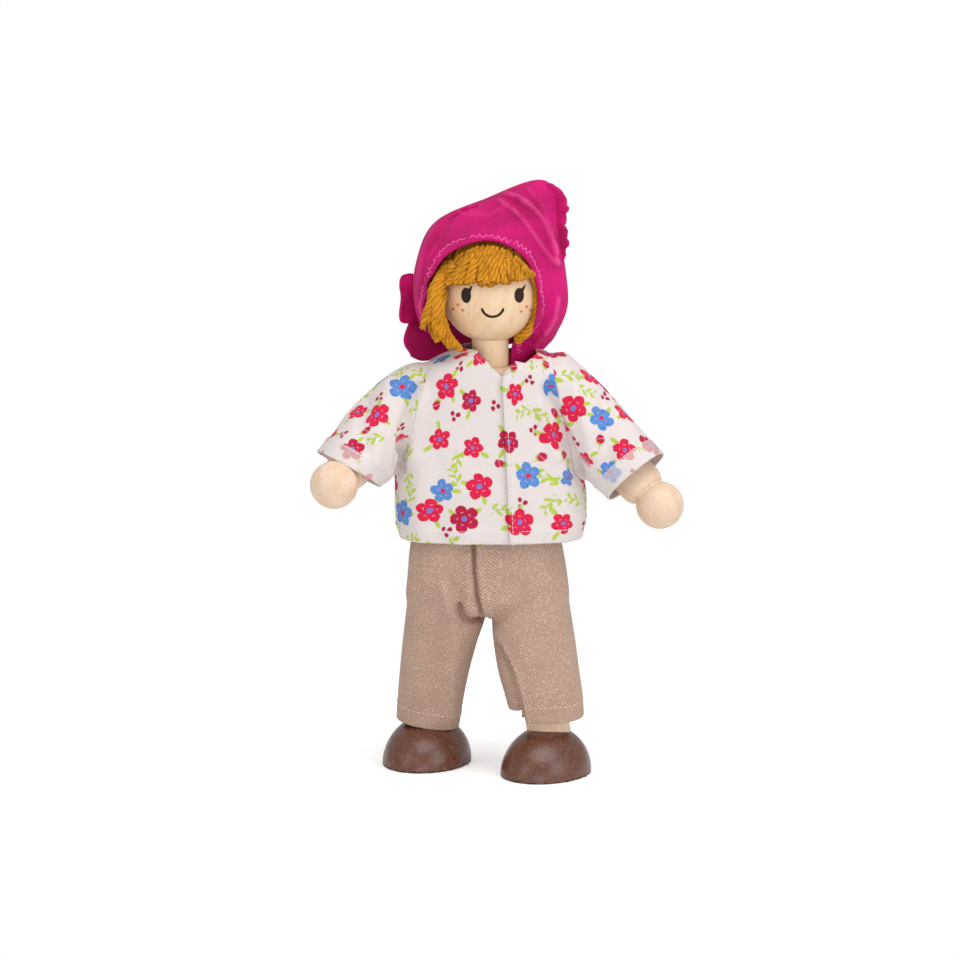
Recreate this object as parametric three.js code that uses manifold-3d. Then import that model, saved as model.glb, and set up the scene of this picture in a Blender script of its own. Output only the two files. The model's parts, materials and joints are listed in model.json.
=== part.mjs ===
// Jointed wooden dollhouse figure dressed in a kerchief, a shirt and trousers.
// Millimetres, +Z up. The doll looks along -Y, so its right side is at -X.
// Right and left are the doll's own. The origin is on the floor, in the middle of the figure's box.
// Each limb hangs along -Z of its own joint frame, and nested groups turn the frames to the rest pose.

import * as THREE from 'three';
import { mergeVertices } from 'three/addons/utils/BufferGeometryUtils.js';
import Module from 'manifold-3d';

const wasm = await Module();
wasm.setup();

// Fits
const SEAT_GAP = 0.3;
const JOINT_GAP = 0.35;
const CLOTH_GAP = 0.35;

// Where the figure stands
const SPINE_X = -1.8;
const SPINE_Y = 1.5;

// Legs
const HIP_HALF = 7.6;
const HIP_BARREL_RADIUS = 7.2;
const HIP_BARREL_LENGTH = 11.6;
const THIGH_LENGTH = 22.4;
const SHIN_LENGTH = 24.0;
const LEG_RADIUS = 5.05;
const LEG_TONGUE = 3.6;
const LEG_TONGUE_RADIUS = 4.2;
const LEG_PIN_RADIUS = 1.25;
// How much of its full height a standing leg keeps with its knee a little bent
const LEG_STRETCH = 0.96983;

// Shoes, half eggs with their toes turned to the doll's right
const SHOE_HALF_WIDTH = 10.15;
const SHOE_TOE = 13.2;
const SHOE_HEEL = 11.4;
const SHOE_CENTRE_Z = 0.8;
const SHOE_PITCH = 11;
const ANKLE_Z = 4.0;
const ANKLE_BEHIND = 3.2;

// Torso, which stands on the legs
const HIP_Z = ANKLE_Z + LEG_STRETCH * (THIGH_LENGTH + SHIN_LENGTH);
const HIP_BLOCK_RISE = 4;
const HIP_BLOCK_Z = HIP_Z + HIP_BLOCK_RISE;
const HIP_BLOCK_HALF = 11.4;
const WAIST_RISE = 19;
const WAIST_Z = HIP_Z + WAIST_RISE;
const WAIST_HALF = 9.0;
const TORSO_HEIGHT = 46.5;
const SHOULDER_TOP_Z = HIP_Z + TORSO_HEIGHT;
const SHOULDER_HALF = 9.7;
const TORSO_DEPTH = 15;
const TORSO_EDGE = 2;
const COLLAR_FLAT_HALF = 5.6;

// Head, on a neck that is let into the torso and the head
const HEAD_RADIUS = 11.3;
const HEAD_RISE = 16.7;
const HEAD_Z = SHOULDER_TOP_Z + HEAD_RISE;
const NECK_RADIUS = 4.25;
const NECK_IN_TORSO = 11.5;
const NECK_SEAT_Z = SHOULDER_TOP_Z - NECK_IN_TORSO;
const NECK_TOP_BELOW_HEAD = 8;
const NECK_TOP_Z = HEAD_Z - NECK_TOP_BELOW_HEAD;

// Arms
const SHOULDER_DROP = 6;
const SHOULDER_Z = SHOULDER_TOP_Z - SHOULDER_DROP;
const SHOULDER_OUT = 15.2;
const HUB_RADIUS = 4.8;
const HUB_PEG_RADIUS = 2.2;
const HUB_PEG_LENGTH = 4.2;
const ARM_TONGUE = 3.0;
const ARM_TONGUE_RADIUS = 4.0;
const UPPER_ARM_LENGTH = 16;
const UPPER_ARM_RADIUS = 4.7;
const FOREARM_LENGTH = 20.2;
const FOREARM_RADIUS = 5.2;
const WRIST_RADIUS = 3.9;
const HAND_RADIUS = 5.5;
const ARM_PIN_RADIUS = 1.1;

// Cloth and yarn
const SHIRT_CLOTH = 0.8;
const TWILL = 0.9;
const JERSEY = 0.9;
const HAIR_RADIUS = 13.3;
const FRINGE_RADIUS = 13.9;
const FRINGE_Z = HEAD_Z + 3.2;
const FRINGE_BACK_Y = -4.4;

// The rest pose: the way from each shoulder to its hand, as a part of the arm's whole length, and where
// each ankle stands, seen from the spine
const SIDES = {
  right: { sign: -1, reach: [-0.5663, -0.4586, -0.5304], ankle: [-13.6, 9.8], toeTurn: -20 },
  left: { sign: 1, reach: [0.6602, -0.2348, -0.7003], ankle: [14.6, -1.6], toeTurn: -26 },
};

const ROUND = 24;
const PIN_ROUND = 14;

// Finishes
const finish = (color, roughness) => new THREE.MeshStandardMaterial({ color, roughness, metalness: 0 });
const beech = () => finish('#eed2b0', 0.6);
const pegWood = () => finish('#d9b98c', 0.65);
const shoePaint = () => finish('#5c3a2e', 0.35);
const yarn = () => finish('#d2941f', 0.95);
const jersey = () => finish('#d3187a', 0.85);
const printedCotton = () => finish('#eee7e4', 0.9);
const twill = () => finish('#a98a78', 0.9);
const elasticBand = () => finish('#f1efe8', 0.8);

const figure = new THREE.Group();
const figureFrame = new THREE.Group();
figureFrame.position.set(SPINE_X, SPINE_Y, 0);
figure.add(figureFrame);

// Solid modelling helpers
function closedMesh(vertices, triangles) {
  let volume = 0;
  const a = new THREE.Vector3();
  const b = new THREE.Vector3();
  const c = new THREE.Vector3();
  for (let i = 0; i < triangles.length; i += 3) {
    a.fromArray(vertices, 3 * triangles[i]);
    b.fromArray(vertices, 3 * triangles[i + 1]);
    c.fromArray(vertices, 3 * triangles[i + 2]);
    volume += a.dot(b.cross(c));
  }
  const facing = triangles.slice();
  if (volume < 0) {
    facing.reverse();
  }
  return new wasm.Manifold(new wasm.Mesh({
    numProp: 3,
    vertProperties: new Float32Array(vertices),
    triVerts: new Uint32Array(facing),
  }));
}

function solidOf(geometry) {
  geometry.deleteAttribute('normal');
  geometry.deleteAttribute('uv');
  const merged = mergeVertices(geometry, 1e-4);
  const index = merged.index.array;
  const kept = [];
  for (let i = 0; i < index.length; i += 3) {
    const [p, q, r] = [index[i], index[i + 1], index[i + 2]];
    if (p !== q && q !== r && r !== p) {
      kept.push(p, q, r);
    }
  }
  return closedMesh(Array.from(merged.attributes.position.array), kept);
}

function geometryOf(solid) {
  const mesh = solid.getMesh();
  const geometry = new THREE.BufferGeometry();
  geometry.setAttribute('position', new THREE.BufferAttribute(new Float32Array(mesh.vertProperties), 3));
  geometry.setIndex(new THREE.BufferAttribute(new Uint32Array(mesh.triVerts), 1));
  geometry.computeVertexNormals();
  return geometry;
}

function addPiece(name, solid, material, parent) {
  const piece = new THREE.Mesh(geometryOf(solid), material);
  piece.name = name;
  parent.add(piece);
  return piece;
}

// A cylinder whose middle is at the origin, along one axis
function rod(axis, radius, length, segments = ROUND) {
  const geometry = new THREE.CylinderGeometry(radius, radius, length, segments);
  if (axis === 'x') {
    geometry.rotateZ(Math.PI / 2);
  }
  if (axis === 'z') {
    geometry.rotateX(Math.PI / 2);
  }
  return solidOf(geometry);
}

const block = (x, y, z) => solidOf(new THREE.BoxGeometry(x, y, z));

// A solid turned about Z from a profile of [radius, height] pairs
function turned(profile, segments = ROUND) {
  const geometry = new THREE.LatheGeometry(profile.map(([r, z]) => new THREE.Vector2(r, z)), segments);
  geometry.rotateX(Math.PI / 2);
  return solidOf(geometry);
}

// The points of an arc in a turned profile, about a centre on the axis
function profileArc(radius, centreZ, fromDegrees, toDegrees, steps) {
  return Array.from({ length: steps + 1 }, (_, i) => {
    const angle = THREE.MathUtils.degToRad(fromDegrees + ((toDegrees - fromDegrees) * i) / steps);
    return [Math.max(0, radius * Math.cos(angle)), centreZ + radius * Math.sin(angle)];
  });
}

// Where a group's own frame lies in the frame of the whole figure
function frameOf(group) {
  figure.updateMatrixWorld(true);
  return figureFrame.matrixWorld.clone().invert().multiply(group.matrixWorld);
}

const inFrame = (solid, matrix) => solid.transform(matrix.elements);

// A limb's line: its root, its middle joint, and its end at a length beyond that joint
function limbLine(root, middleFrame, endLength) {
  const toFigure = frameOf(middleFrame);
  const middle = new THREE.Vector3().applyMatrix4(toFigure);
  const end = new THREE.Vector3(0, 0, -endLength).applyMatrix4(toFigure);
  return [root.clone(), middle, end];
}

// Rest pose: the two-bar reach of an arm or a leg
function bendFor(first, second, reach) {
  const cosine = (reach * reach - first * first - second * second) / (2 * first * second);
  return Math.acos(THREE.MathUtils.clamp(cosine, -1, 1));
}

// An arm bends to the front: the elbow's bend comes from the reach, the lift from the sideways part
function armPose(reach) {
  const bend = bendFor(UPPER_ARM_LENGTH, FOREARM_LENGTH, reach.length());
  const y = -FOREARM_LENGTH * Math.sin(bend);
  const z = -(UPPER_ARM_LENGTH + FOREARM_LENGTH * Math.cos(bend));
  const lift = Math.asin(THREE.MathUtils.clamp(reach.x / z, -1, 1));
  const swing = Math.atan2(reach.z, reach.y) - Math.atan2(z * Math.cos(lift), y);
  return { bend: -bend, lift, swing };
}

// A leg splays in the hip first, then bends in one plane with the knee to the front
function legPose(hip, ankle) {
  const reach = ankle.clone().sub(hip);
  const bend = bendFor(THIGH_LENGTH, SHIN_LENGTH, reach.length());
  const splay = Math.atan2(-reach.x, -reach.z);
  const down = Math.hypot(reach.x, reach.z);
  const y = SHIN_LENGTH * Math.sin(bend);
  const z = THIGH_LENGTH + SHIN_LENGTH * Math.cos(bend);
  const swing = Math.atan2(reach.y, down) - Math.atan2(y, z);
  return { splay, swing, bend };
}

// Torso: a milled block with rounded shoulders, drilled for the neck and the shoulder pegs
function torsoBlock() {
  const outline = new THREE.Shape();
  outline.moveTo(-HIP_BLOCK_HALF, HIP_BLOCK_Z);
  outline.quadraticCurveTo(-HIP_BLOCK_HALF, (HIP_BLOCK_Z + WAIST_Z) / 2, -WAIST_HALF, WAIST_Z);
  outline.quadraticCurveTo(-SHOULDER_HALF, (SHOULDER_Z + WAIST_Z) / 2, -SHOULDER_HALF, SHOULDER_Z);
  outline.quadraticCurveTo(-SHOULDER_HALF, SHOULDER_TOP_Z, -COLLAR_FLAT_HALF, SHOULDER_TOP_Z);
  outline.lineTo(COLLAR_FLAT_HALF, SHOULDER_TOP_Z);
  outline.quadraticCurveTo(SHOULDER_HALF, SHOULDER_TOP_Z, SHOULDER_HALF, SHOULDER_Z);
  outline.quadraticCurveTo(SHOULDER_HALF, (SHOULDER_Z + WAIST_Z) / 2, WAIST_HALF, WAIST_Z);
  outline.quadraticCurveTo(HIP_BLOCK_HALF, (HIP_BLOCK_Z + WAIST_Z) / 2, HIP_BLOCK_HALF, HIP_BLOCK_Z);
  outline.closePath();
  const geometry = new THREE.ExtrudeGeometry(outline, {
    depth: TORSO_DEPTH - 2 * TORSO_EDGE,
    curveSegments: 6,
    bevelThickness: TORSO_EDGE,
    bevelSize: TORSO_EDGE,
    bevelOffset: -TORSO_EDGE,
    bevelSegments: 3,
  });
  geometry.translate(0, 0, -(TORSO_DEPTH - 2 * TORSO_EDGE) / 2);
  geometry.rotateX(Math.PI / 2);
  const neckBore = NECK_RADIUS + JOINT_GAP;
  const boreBottom = NECK_SEAT_Z - SEAT_GAP;
  const boreTop = SHOULDER_TOP_Z + 1;
  return solidOf(geometry)
    .subtract(rod('z', neckBore, boreTop - boreBottom).translate(0, 0, (boreTop + boreBottom) / 2));
}

// Fork and tongue shared by elbows and knees
function forkSlot(width, radius, depth) {
  const room = radius + JOINT_GAP;
  return block(width + 2 * JOINT_GAP, 4 * room, depth + room).translate(0, 0, (room - depth) / 2);
}

// The tongue is a flat plate with a round end about its pin, joined to the limb's shoulder
function tongue(thickness, radius, reach, pinRadius) {
  return rod('x', radius, thickness)
    .add(block(thickness, 2 * radius, reach).translate(0, 0, -reach / 2))
    .subtract(rod('x', pinRadius + JOINT_GAP, 2 * thickness, PIN_ROUND));
}

// A limb between two joints: round fork end below, plain shoulder above
function forkedLimb(radius, from, length, slotWidth, tongueRadius, pinRadius) {
  const shaft = length - from;
  return rod('z', radius, shaft).translate(0, 0, -from - shaft / 2)
    .add(rod('x', radius, 2 * radius).intersect(rod('z', radius, 4 * radius)).translate(0, 0, -length))
    .subtract(forkSlot(slotWidth, tongueRadius, radius + 1).translate(0, 0, -length))
    .subtract(rod('x', pinRadius + SEAT_GAP, 3 * radius, PIN_ROUND).translate(0, 0, -length));
}

// Arms
const torsoCuts = [];
const torsoAdds = [];

function shoulderHub(sign) {
  const faceX = SHOULDER_HALF + JOINT_GAP - SHOULDER_OUT;
  const barrel = rod('x', HUB_RADIUS, -faceX + HUB_RADIUS)
    .translate((HUB_RADIUS + faceX) / 2, 0, 0);
  const roundEnd = rod('y', HUB_RADIUS, 3 * HUB_RADIUS).add(block(-faceX, 3 * HUB_RADIUS, 3 * HUB_RADIUS)
    .translate(faceX / 2, 0, 0));
  const peg = rod('x', HUB_PEG_RADIUS, HUB_PEG_LENGTH + 1, PIN_ROUND)
    .translate(faceX - JOINT_GAP - HUB_PEG_LENGTH / 2 + 0.5, 0, 0);
  const slotReach = ARM_TONGUE_RADIUS + JOINT_GAP;
  const slot = block(slotReach + 2 * HUB_RADIUS, ARM_TONGUE + 2 * JOINT_GAP, 4 * HUB_RADIUS)
    .translate(HUB_RADIUS - slotReach / 2, 0, 0);
  const hub = barrel.intersect(roundEnd)
    .subtract(slot)
    .subtract(rod('y', ARM_PIN_RADIUS + SEAT_GAP, 3 * HUB_RADIUS, PIN_ROUND))
    .add(peg);
  return sign > 0 ? hub : hub.rotate([0, 0, 180]);
}

function upperArm() {
  const shoulderDrop = HUB_RADIUS + JOINT_GAP;
  return forkedLimb(
    UPPER_ARM_RADIUS,
    shoulderDrop,
    UPPER_ARM_LENGTH,
    ARM_TONGUE,
    ARM_TONGUE_RADIUS,
    ARM_PIN_RADIUS,
  ).add(tongue(ARM_TONGUE, ARM_TONGUE_RADIUS, shoulderDrop + 0.5, ARM_PIN_RADIUS).rotate([0, 0, 90]));
}

// Forearm and hand are turned from one dowel: round end, wrist groove, ball
function forearm() {
  const shoulderDrop = UPPER_ARM_RADIUS + JOINT_GAP;
  const wristZ = Math.sqrt(HAND_RADIUS ** 2 - WRIST_RADIUS ** 2);
  const wristAngle = THREE.MathUtils.radToDeg(Math.asin(wristZ / HAND_RADIUS));
  const roundStart = -FOREARM_LENGTH + wristZ + 3.6;
  const roundEdge = Array.from({ length: 5 }, (_, i) => {
    const angle = ((i + 0.5) * Math.PI) / 10;
    const inset = FOREARM_RADIUS - WRIST_RADIUS;
    return [WRIST_RADIUS + inset * Math.cos(angle), roundStart - 3.2 * Math.sin(angle)];
  });
  const turnedPart = turned([
    [0, -shoulderDrop],
    [FOREARM_RADIUS, -shoulderDrop],
    [FOREARM_RADIUS, roundStart],
    ...roundEdge,
    ...profileArc(HAND_RADIUS, -FOREARM_LENGTH, wristAngle, -90, 12),
  ]);
  return turnedPart.add(
    tongue(ARM_TONGUE, ARM_TONGUE_RADIUS, shoulderDrop + 0.5, ARM_PIN_RADIUS),
  );
}

function addArm(side) {
  const { sign, reach } = SIDES[side];
  const shoulder = new THREE.Vector3(sign * SHOULDER_OUT, 0, SHOULDER_Z);
  const pose = armPose(new THREE.Vector3(...reach).multiplyScalar(UPPER_ARM_LENGTH + FOREARM_LENGTH));
  const hubFrame = new THREE.Group();
  hubFrame.name = `${side}_shoulder_swing_frame`;
  hubFrame.position.copy(shoulder);
  hubFrame.rotation.x = pose.swing;
  figureFrame.add(hubFrame);
  const armFrame = new THREE.Group();
  armFrame.name = `${side}_shoulder_lift_frame`;
  armFrame.rotation.y = pose.lift;
  hubFrame.add(armFrame);
  const elbowFrame = new THREE.Group();
  elbowFrame.name = `${side}_elbow_frame`;
  elbowFrame.position.z = -UPPER_ARM_LENGTH;
  elbowFrame.rotation.x = pose.bend;
  armFrame.add(elbowFrame);

  const hubPinLength = 2 * HUB_RADIUS - 1.4;
  const elbowPinLength = 2 * UPPER_ARM_RADIUS - 1.0;
  addPiece(`${side}_shoulder_hub`, shoulderHub(sign), beech(), hubFrame);
  addPiece(`${side}_shoulder_pin`, rod('y', ARM_PIN_RADIUS, hubPinLength, PIN_ROUND), pegWood(), hubFrame);
  addPiece(`${side}_upper_arm`, upperArm(), beech(), armFrame);
  const elbowPin = rod('x', ARM_PIN_RADIUS, elbowPinLength, PIN_ROUND).translate(0, 0, -UPPER_ARM_LENGTH);
  addPiece(`${side}_elbow_pin`, elbowPin, pegWood(), armFrame);
  addPiece(`${side}_forearm_and_hand`, forearm(), beech(), elbowFrame);

  const pegHole = HUB_PEG_LENGTH + SEAT_GAP;
  torsoCuts.push(rod('x', HUB_PEG_RADIUS + JOINT_GAP, pegHole + 2, PIN_ROUND)
    .translate(sign * (SHOULDER_HALF - pegHole / 2 + 1), 0, SHOULDER_Z));
  return limbLine(shoulder, elbowFrame, FOREARM_LENGTH);
}

// Legs
function thigh() {
  const shoulderDrop = HIP_BARREL_RADIUS + JOINT_GAP;
  return forkedLimb(LEG_RADIUS, shoulderDrop, THIGH_LENGTH, LEG_TONGUE, LEG_TONGUE_RADIUS, LEG_PIN_RADIUS)
    .add(tongue(LEG_TONGUE, LEG_TONGUE_RADIUS, shoulderDrop + 0.5, LEG_PIN_RADIUS));
}

function shin() {
  const shoulderDrop = LEG_RADIUS + JOINT_GAP;
  const shaft = SHIN_LENGTH - shoulderDrop;
  return rod('z', LEG_RADIUS, shaft).translate(0, 0, -shoulderDrop - shaft / 2)
    .add(tongue(LEG_TONGUE, LEG_TONGUE_RADIUS, shoulderDrop + 0.5, LEG_PIN_RADIUS));
}

// A shoe is cut from a turned egg that lies on its side with the heel raised, and has a bore for the shin
function shoe(shinInShoe) {
  const steps = 14;
  const profile = Array.from({ length: steps + 1 }, (_, i) => {
    const angle = (Math.PI * i) / steps - Math.PI / 2;
    const along = Math.sin(angle) * (angle < 0 ? SHOE_TOE : SHOE_HEEL);
    return new THREE.Vector2(Math.max(0, SHOE_HALF_WIDTH * Math.cos(angle)), along);
  });
  const egg = new THREE.LatheGeometry(profile, 26);
  egg.rotateX(THREE.MathUtils.degToRad(SHOE_PITCH));
  egg.translate(0, 0, SHOE_CENTRE_Z);
  const below = 4 * SHOE_HALF_WIDTH;
  return solidOf(egg)
    .subtract(block(2 * below, 2 * below, below).translate(0, 0, -below / 2))
    .subtract(shinInShoe);
}

function addLeg(side) {
  const { sign, ankle, toeTurn } = SIDES[side];
  const hip = new THREE.Vector3(sign * HIP_HALF, 0, HIP_Z);
  const pose = legPose(hip, new THREE.Vector3(ankle[0], ankle[1], ANKLE_Z));
  const hipFrame = new THREE.Group();
  hipFrame.name = `${side}_hip_axis_frame`;
  hipFrame.position.copy(hip);
  hipFrame.rotation.y = pose.splay;
  figureFrame.add(hipFrame);
  const thighFrame = new THREE.Group();
  thighFrame.name = `${side}_hip_frame`;
  thighFrame.rotation.x = pose.swing;
  hipFrame.add(thighFrame);
  const kneeFrame = new THREE.Group();
  kneeFrame.name = `${side}_knee_frame`;
  kneeFrame.position.z = -THIGH_LENGTH;
  kneeFrame.rotation.x = pose.bend;
  thighFrame.add(kneeFrame);

  const hipPinLength = HIP_BARREL_LENGTH - 1.0;
  const kneePinLength = 2 * LEG_RADIUS - 1.2;
  addPiece(`${side}_hip_pin`, rod('x', LEG_PIN_RADIUS, hipPinLength, PIN_ROUND), pegWood(), hipFrame);
  addPiece(`${side}_thigh`, thigh(), beech(), thighFrame);
  const kneePin = rod('x', LEG_PIN_RADIUS, kneePinLength, PIN_ROUND).translate(0, 0, -THIGH_LENGTH);
  addPiece(`${side}_knee_pin`, kneePin, pegWood(), thighFrame);
  addPiece(`${side}_shin`, shin(), beech(), kneeFrame);

  const shoeFrame = new THREE.Group();
  shoeFrame.name = `${side}_shoe_frame`;
  shoeFrame.rotation.z = THREE.MathUtils.degToRad(toeTurn);
  const forward = new THREE.Vector3(0, -ANKLE_BEHIND, 0).applyEuler(shoeFrame.rotation);
  shoeFrame.position.set(ankle[0] + forward.x, ankle[1] + forward.y, 0);
  figureFrame.add(shoeFrame);
  const bore = rod('z', LEG_RADIUS + SEAT_GAP, SHIN_LENGTH).translate(0, 0, -SHIN_LENGTH / 2 - SEAT_GAP);
  const toShoe = frameOf(shoeFrame).invert().multiply(frameOf(kneeFrame));
  addPiece(`${side}_shoe`, shoe(inFrame(bore, toShoe)), shoePaint(), shoeFrame);

  const toFigure = frameOf(hipFrame);
  torsoAdds.push(inFrame(rod('x', HIP_BARREL_RADIUS, HIP_BARREL_LENGTH), toFigure));
  const slotDepth = 2 * HIP_BARREL_RADIUS;
  const slot = block(LEG_TONGUE + 2 * JOINT_GAP, 3 * HIP_BARREL_RADIUS, slotDepth)
    .translate(0, 0, LEG_TONGUE_RADIUS + JOINT_GAP - slotDepth / 2);
  const pinHole = rod('x', LEG_PIN_RADIUS + SEAT_GAP, HIP_BARREL_LENGTH + 2, PIN_ROUND);
  torsoCuts.push(inFrame(slot, toFigure), inFrame(pinHole, toFigure));
  return limbLine(hip, kneeFrame, SHIN_LENGTH);
}

const armLines = { right: addArm('right'), left: addArm('left') };
const legLines = { right: addLeg('right'), left: addLeg('left') };

let torso = torsoBlock();
torsoAdds.forEach((solid) => { torso = torso.add(solid); });
torsoCuts.forEach((solid) => { torso = torso.subtract(solid); });
addPiece('torso', torso, beech(), figureFrame);

// Head and neck, one turned ball on a dowel that turns in the torso
const neckLength = NECK_TOP_Z - NECK_SEAT_Z;
const neckDowel = rod('z', NECK_RADIUS, neckLength).translate(0, 0, NECK_SEAT_Z + neckLength / 2);
addPiece('neck_dowel', neckDowel, beech(), figureFrame);
const headBore = rod('z', NECK_RADIUS + SEAT_GAP, 2 * HEAD_RADIUS)
  .translate(0, 0, NECK_TOP_Z + SEAT_GAP - HEAD_RADIUS);
const headBall = solidOf(new THREE.SphereGeometry(HEAD_RADIUS, 32, 18).rotateX(Math.PI / 2))
  .translate(0, 0, HEAD_Z);
addPiece('head', headBall.subtract(headBore), beech(), figureFrame);

// Cloth and yarn forms
const point = (x, y, z) => new THREE.Vector3(x, y, z);

// A place on what the head wears, given by its height above the head's middle
const onHead = ([x, y, rise]) => point(x, y, HEAD_Z + rise);

// One closed ring round a garment: two half sizes, a squareness, and what runs along the tube: even folds,
// single ridges or creases at an angle, and a lap, where one edge of cloth stands up over the next
function clothRing(shape, steps) {
  const { centre, halfA, halfB, power = 2.2, folds = [], ridges = [], lap = null, dip = null } = shape;
  return Array.from({ length: steps }, (_, i) => {
    const degrees = (360 * i) / steps;
    const angle = THREE.MathUtils.degToRad(degrees);
    const cosine = Math.cos(angle);
    const sine = Math.sin(angle);
    let wave = folds.reduce((sum, fold) => sum + fold.depth * Math.cos(fold.count * angle + fold.phase), 0);
    ridges.forEach((ridge) => {
      wave += ridge.height * Math.exp(-(((degrees - ridge.angle) / ridge.width) ** 2));
    });
    if (lap && degrees >= lap.from && degrees <= lap.to) {
      wave += (lap.height * (degrees - lap.from)) / (lap.to - lap.from);
    }
    const along = Math.sign(cosine) * Math.abs(cosine) ** (2 / power);
    const across = Math.sign(sine) * Math.abs(sine) ** (2 / power);
    const out = point(0, 0, 0).addScaledVector(halfA, along).addScaledVector(halfB, across);
    out.addScaledVector(out.clone().normalize(), wave);
    if (dip) {
      out.z -= dip(along, across);
    }
    return out.add(centre);
  });
}

// A tube of cloth through its rings, open at both ends: outer skin, inner skin and two hems
function clothTube(rings, thickness) {
  const steps = rings[0].length;
  const inner = rings.map((ring, r) => {
    const before = rings[Math.max(0, r - 1)];
    const after = rings[Math.min(rings.length - 1, r + 1)];
    return ring.map((p, i) => {
      const round = ring[(i + 1) % steps].clone().sub(ring[(i + steps - 1) % steps]);
      const along = after[i].clone().sub(before[i]);
      const inward = round.cross(along).normalize();
      const middle = ring.reduce((sum, q) => sum.add(q), point(0, 0, 0)).divideScalar(steps);
      if (inward.dot(middle.sub(p)) < 0) {
        inward.negate();
      }
      return p.clone().addScaledVector(inward, thickness);
    });
  });
  const skins = [...rings, ...inner.reverse()];
  const vertices = skins.flat().flatMap((p) => [p.x, p.y, p.z]);
  const triangles = [];
  skins.forEach((_, r) => {
    const next = (r + 1) % skins.length;
    for (let i = 0; i < steps; i += 1) {
      const j = (i + 1) % steps;
      const [a, b, c, d] = [r * steps + i, r * steps + j, next * steps + j, next * steps + i];
      triangles.push(a, b, c, a, c, d);
    }
  });
  return closedMesh(vertices, triangles);
}

// The same tube filled and a little fatter, to cut the hole that it passes through
function filledTube(rings, extra) {
  const steps = rings[0].length;
  const middles = rings.map((ring) => ring.reduce((sum, q) => sum.add(q), point(0, 0, 0)).divideScalar(steps));
  const fat = rings.map((ring, r) => ring.map((p) => {
    const out = p.clone().sub(middles[r]);
    return p.clone().addScaledVector(out.normalize(), extra);
  }));
  const backward = middles[0].clone().sub(middles[1]).normalize().multiplyScalar(extra);
  [...fat[0], middles[0]].forEach((p) => p.add(backward));
  const vertices = fat.flat().flatMap((p) => [p.x, p.y, p.z]);
  const triangles = [];
  for (let r = 0; r + 1 < fat.length; r += 1) {
    for (let i = 0; i < steps; i += 1) {
      const j = (i + 1) % steps;
      const [a, b, c, d] = [r * steps + i, r * steps + j, (r + 1) * steps + j, (r + 1) * steps + i];
      triangles.push(a, b, c, a, c, d);
    }
  }
  const [first, last] = [middles[0], middles[middles.length - 1]];
  const firstCentre = vertices.length / 3;
  vertices.push(first.x, first.y, first.z, last.x, last.y, last.z);
  const lastRow = (fat.length - 1) * steps;
  for (let i = 0; i < steps; i += 1) {
    const j = (i + 1) % steps;
    triangles.push(firstCentre, j, i, firstCentre + 1, lastRow + i, lastRow + j);
  }
  return closedMesh(vertices, triangles);
}

// A smooth net of points through rows of chosen points, rows and columns alike as splines
function smoothNet(rows, rowSteps, columnSteps) {
  const wide = rows.map((row) => new THREE.CatmullRomCurve3(row, false, 'centripetal').getPoints(columnSteps));
  const columns = wide[0].map((_, c) => new THREE.CatmullRomCurve3(
    wide.map((row) => row[c]),
    false,
    'centripetal',
  ).getPoints(rowSteps));
  return columns[0].map((_, r) => columns.map((column) => column[r]));
}

// A sheet of cloth over a net of points, half its thickness to each side, closed round its rim
function clothSheet(net, thickness) {
  const rows = net.length;
  const columns = net[0].length;
  const normalAt = (r, c) => {
    const across = net[r][Math.min(columns - 1, c + 1)].clone().sub(net[r][Math.max(0, c - 1)]);
    const down = net[Math.min(rows - 1, r + 1)][c].clone().sub(net[Math.max(0, r - 1)][c]);
    return across.cross(down).normalize();
  };
  const vertices = [];
  [0.5, -0.5].forEach((side) => net.forEach((row, r) => row.forEach((p, c) => {
    const q = p.clone().addScaledVector(normalAt(r, c), side * thickness);
    vertices.push(q.x, q.y, q.z);
  })));
  const back = rows * columns;
  const at = (r, c) => r * columns + c;
  const triangles = [];
  for (let r = 0; r + 1 < rows; r += 1) {
    for (let c = 0; c + 1 < columns; c += 1) {
      const [a, b, d, e] = [at(r, c), at(r, c + 1), at(r + 1, c + 1), at(r + 1, c)];
      triangles.push(a, b, d, a, d, e);
      triangles.push(back + a, back + d, back + b, back + a, back + e, back + d);
    }
  }
  const rim = [];
  for (let c = 0; c < columns; c += 1) rim.push(at(0, c));
  for (let r = 1; r < rows; r += 1) rim.push(at(r, columns - 1));
  for (let c = columns - 2; c >= 0; c -= 1) rim.push(at(rows - 1, c));
  for (let r = rows - 2; r > 0; r -= 1) rim.push(at(r, 0));
  rim.forEach((a, i) => {
    const b = rim[(i + 1) % rim.length];
    triangles.push(a, back + a, b, b, back + a, back + b);
  });
  return closedMesh(vertices, triangles);
}

// A lock of yarn: a round tube along a curve that narrows to its cut end
function yarnLock(points, rootRadius, endRadius) {
  const curve = new THREE.CatmullRomCurve3(points.map(onHead));
  const steps = 7;
  const rings = Array.from({ length: steps + 1 }, (_, i) => {
    const t = i / steps;
    const tangent = curve.getTangent(t);
    const radius = THREE.MathUtils.lerp(rootRadius, endRadius, t);
    const halfA = point(0, -1, 0).cross(tangent).normalize().multiplyScalar(radius);
    const halfB = tangent.clone().cross(halfA).normalize().multiplyScalar(radius);
    return clothRing({ centre: curve.getPoint(t), halfA, halfB, power: 2 }, 8);
  });
  return filledTube(rings, 0);
}

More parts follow.
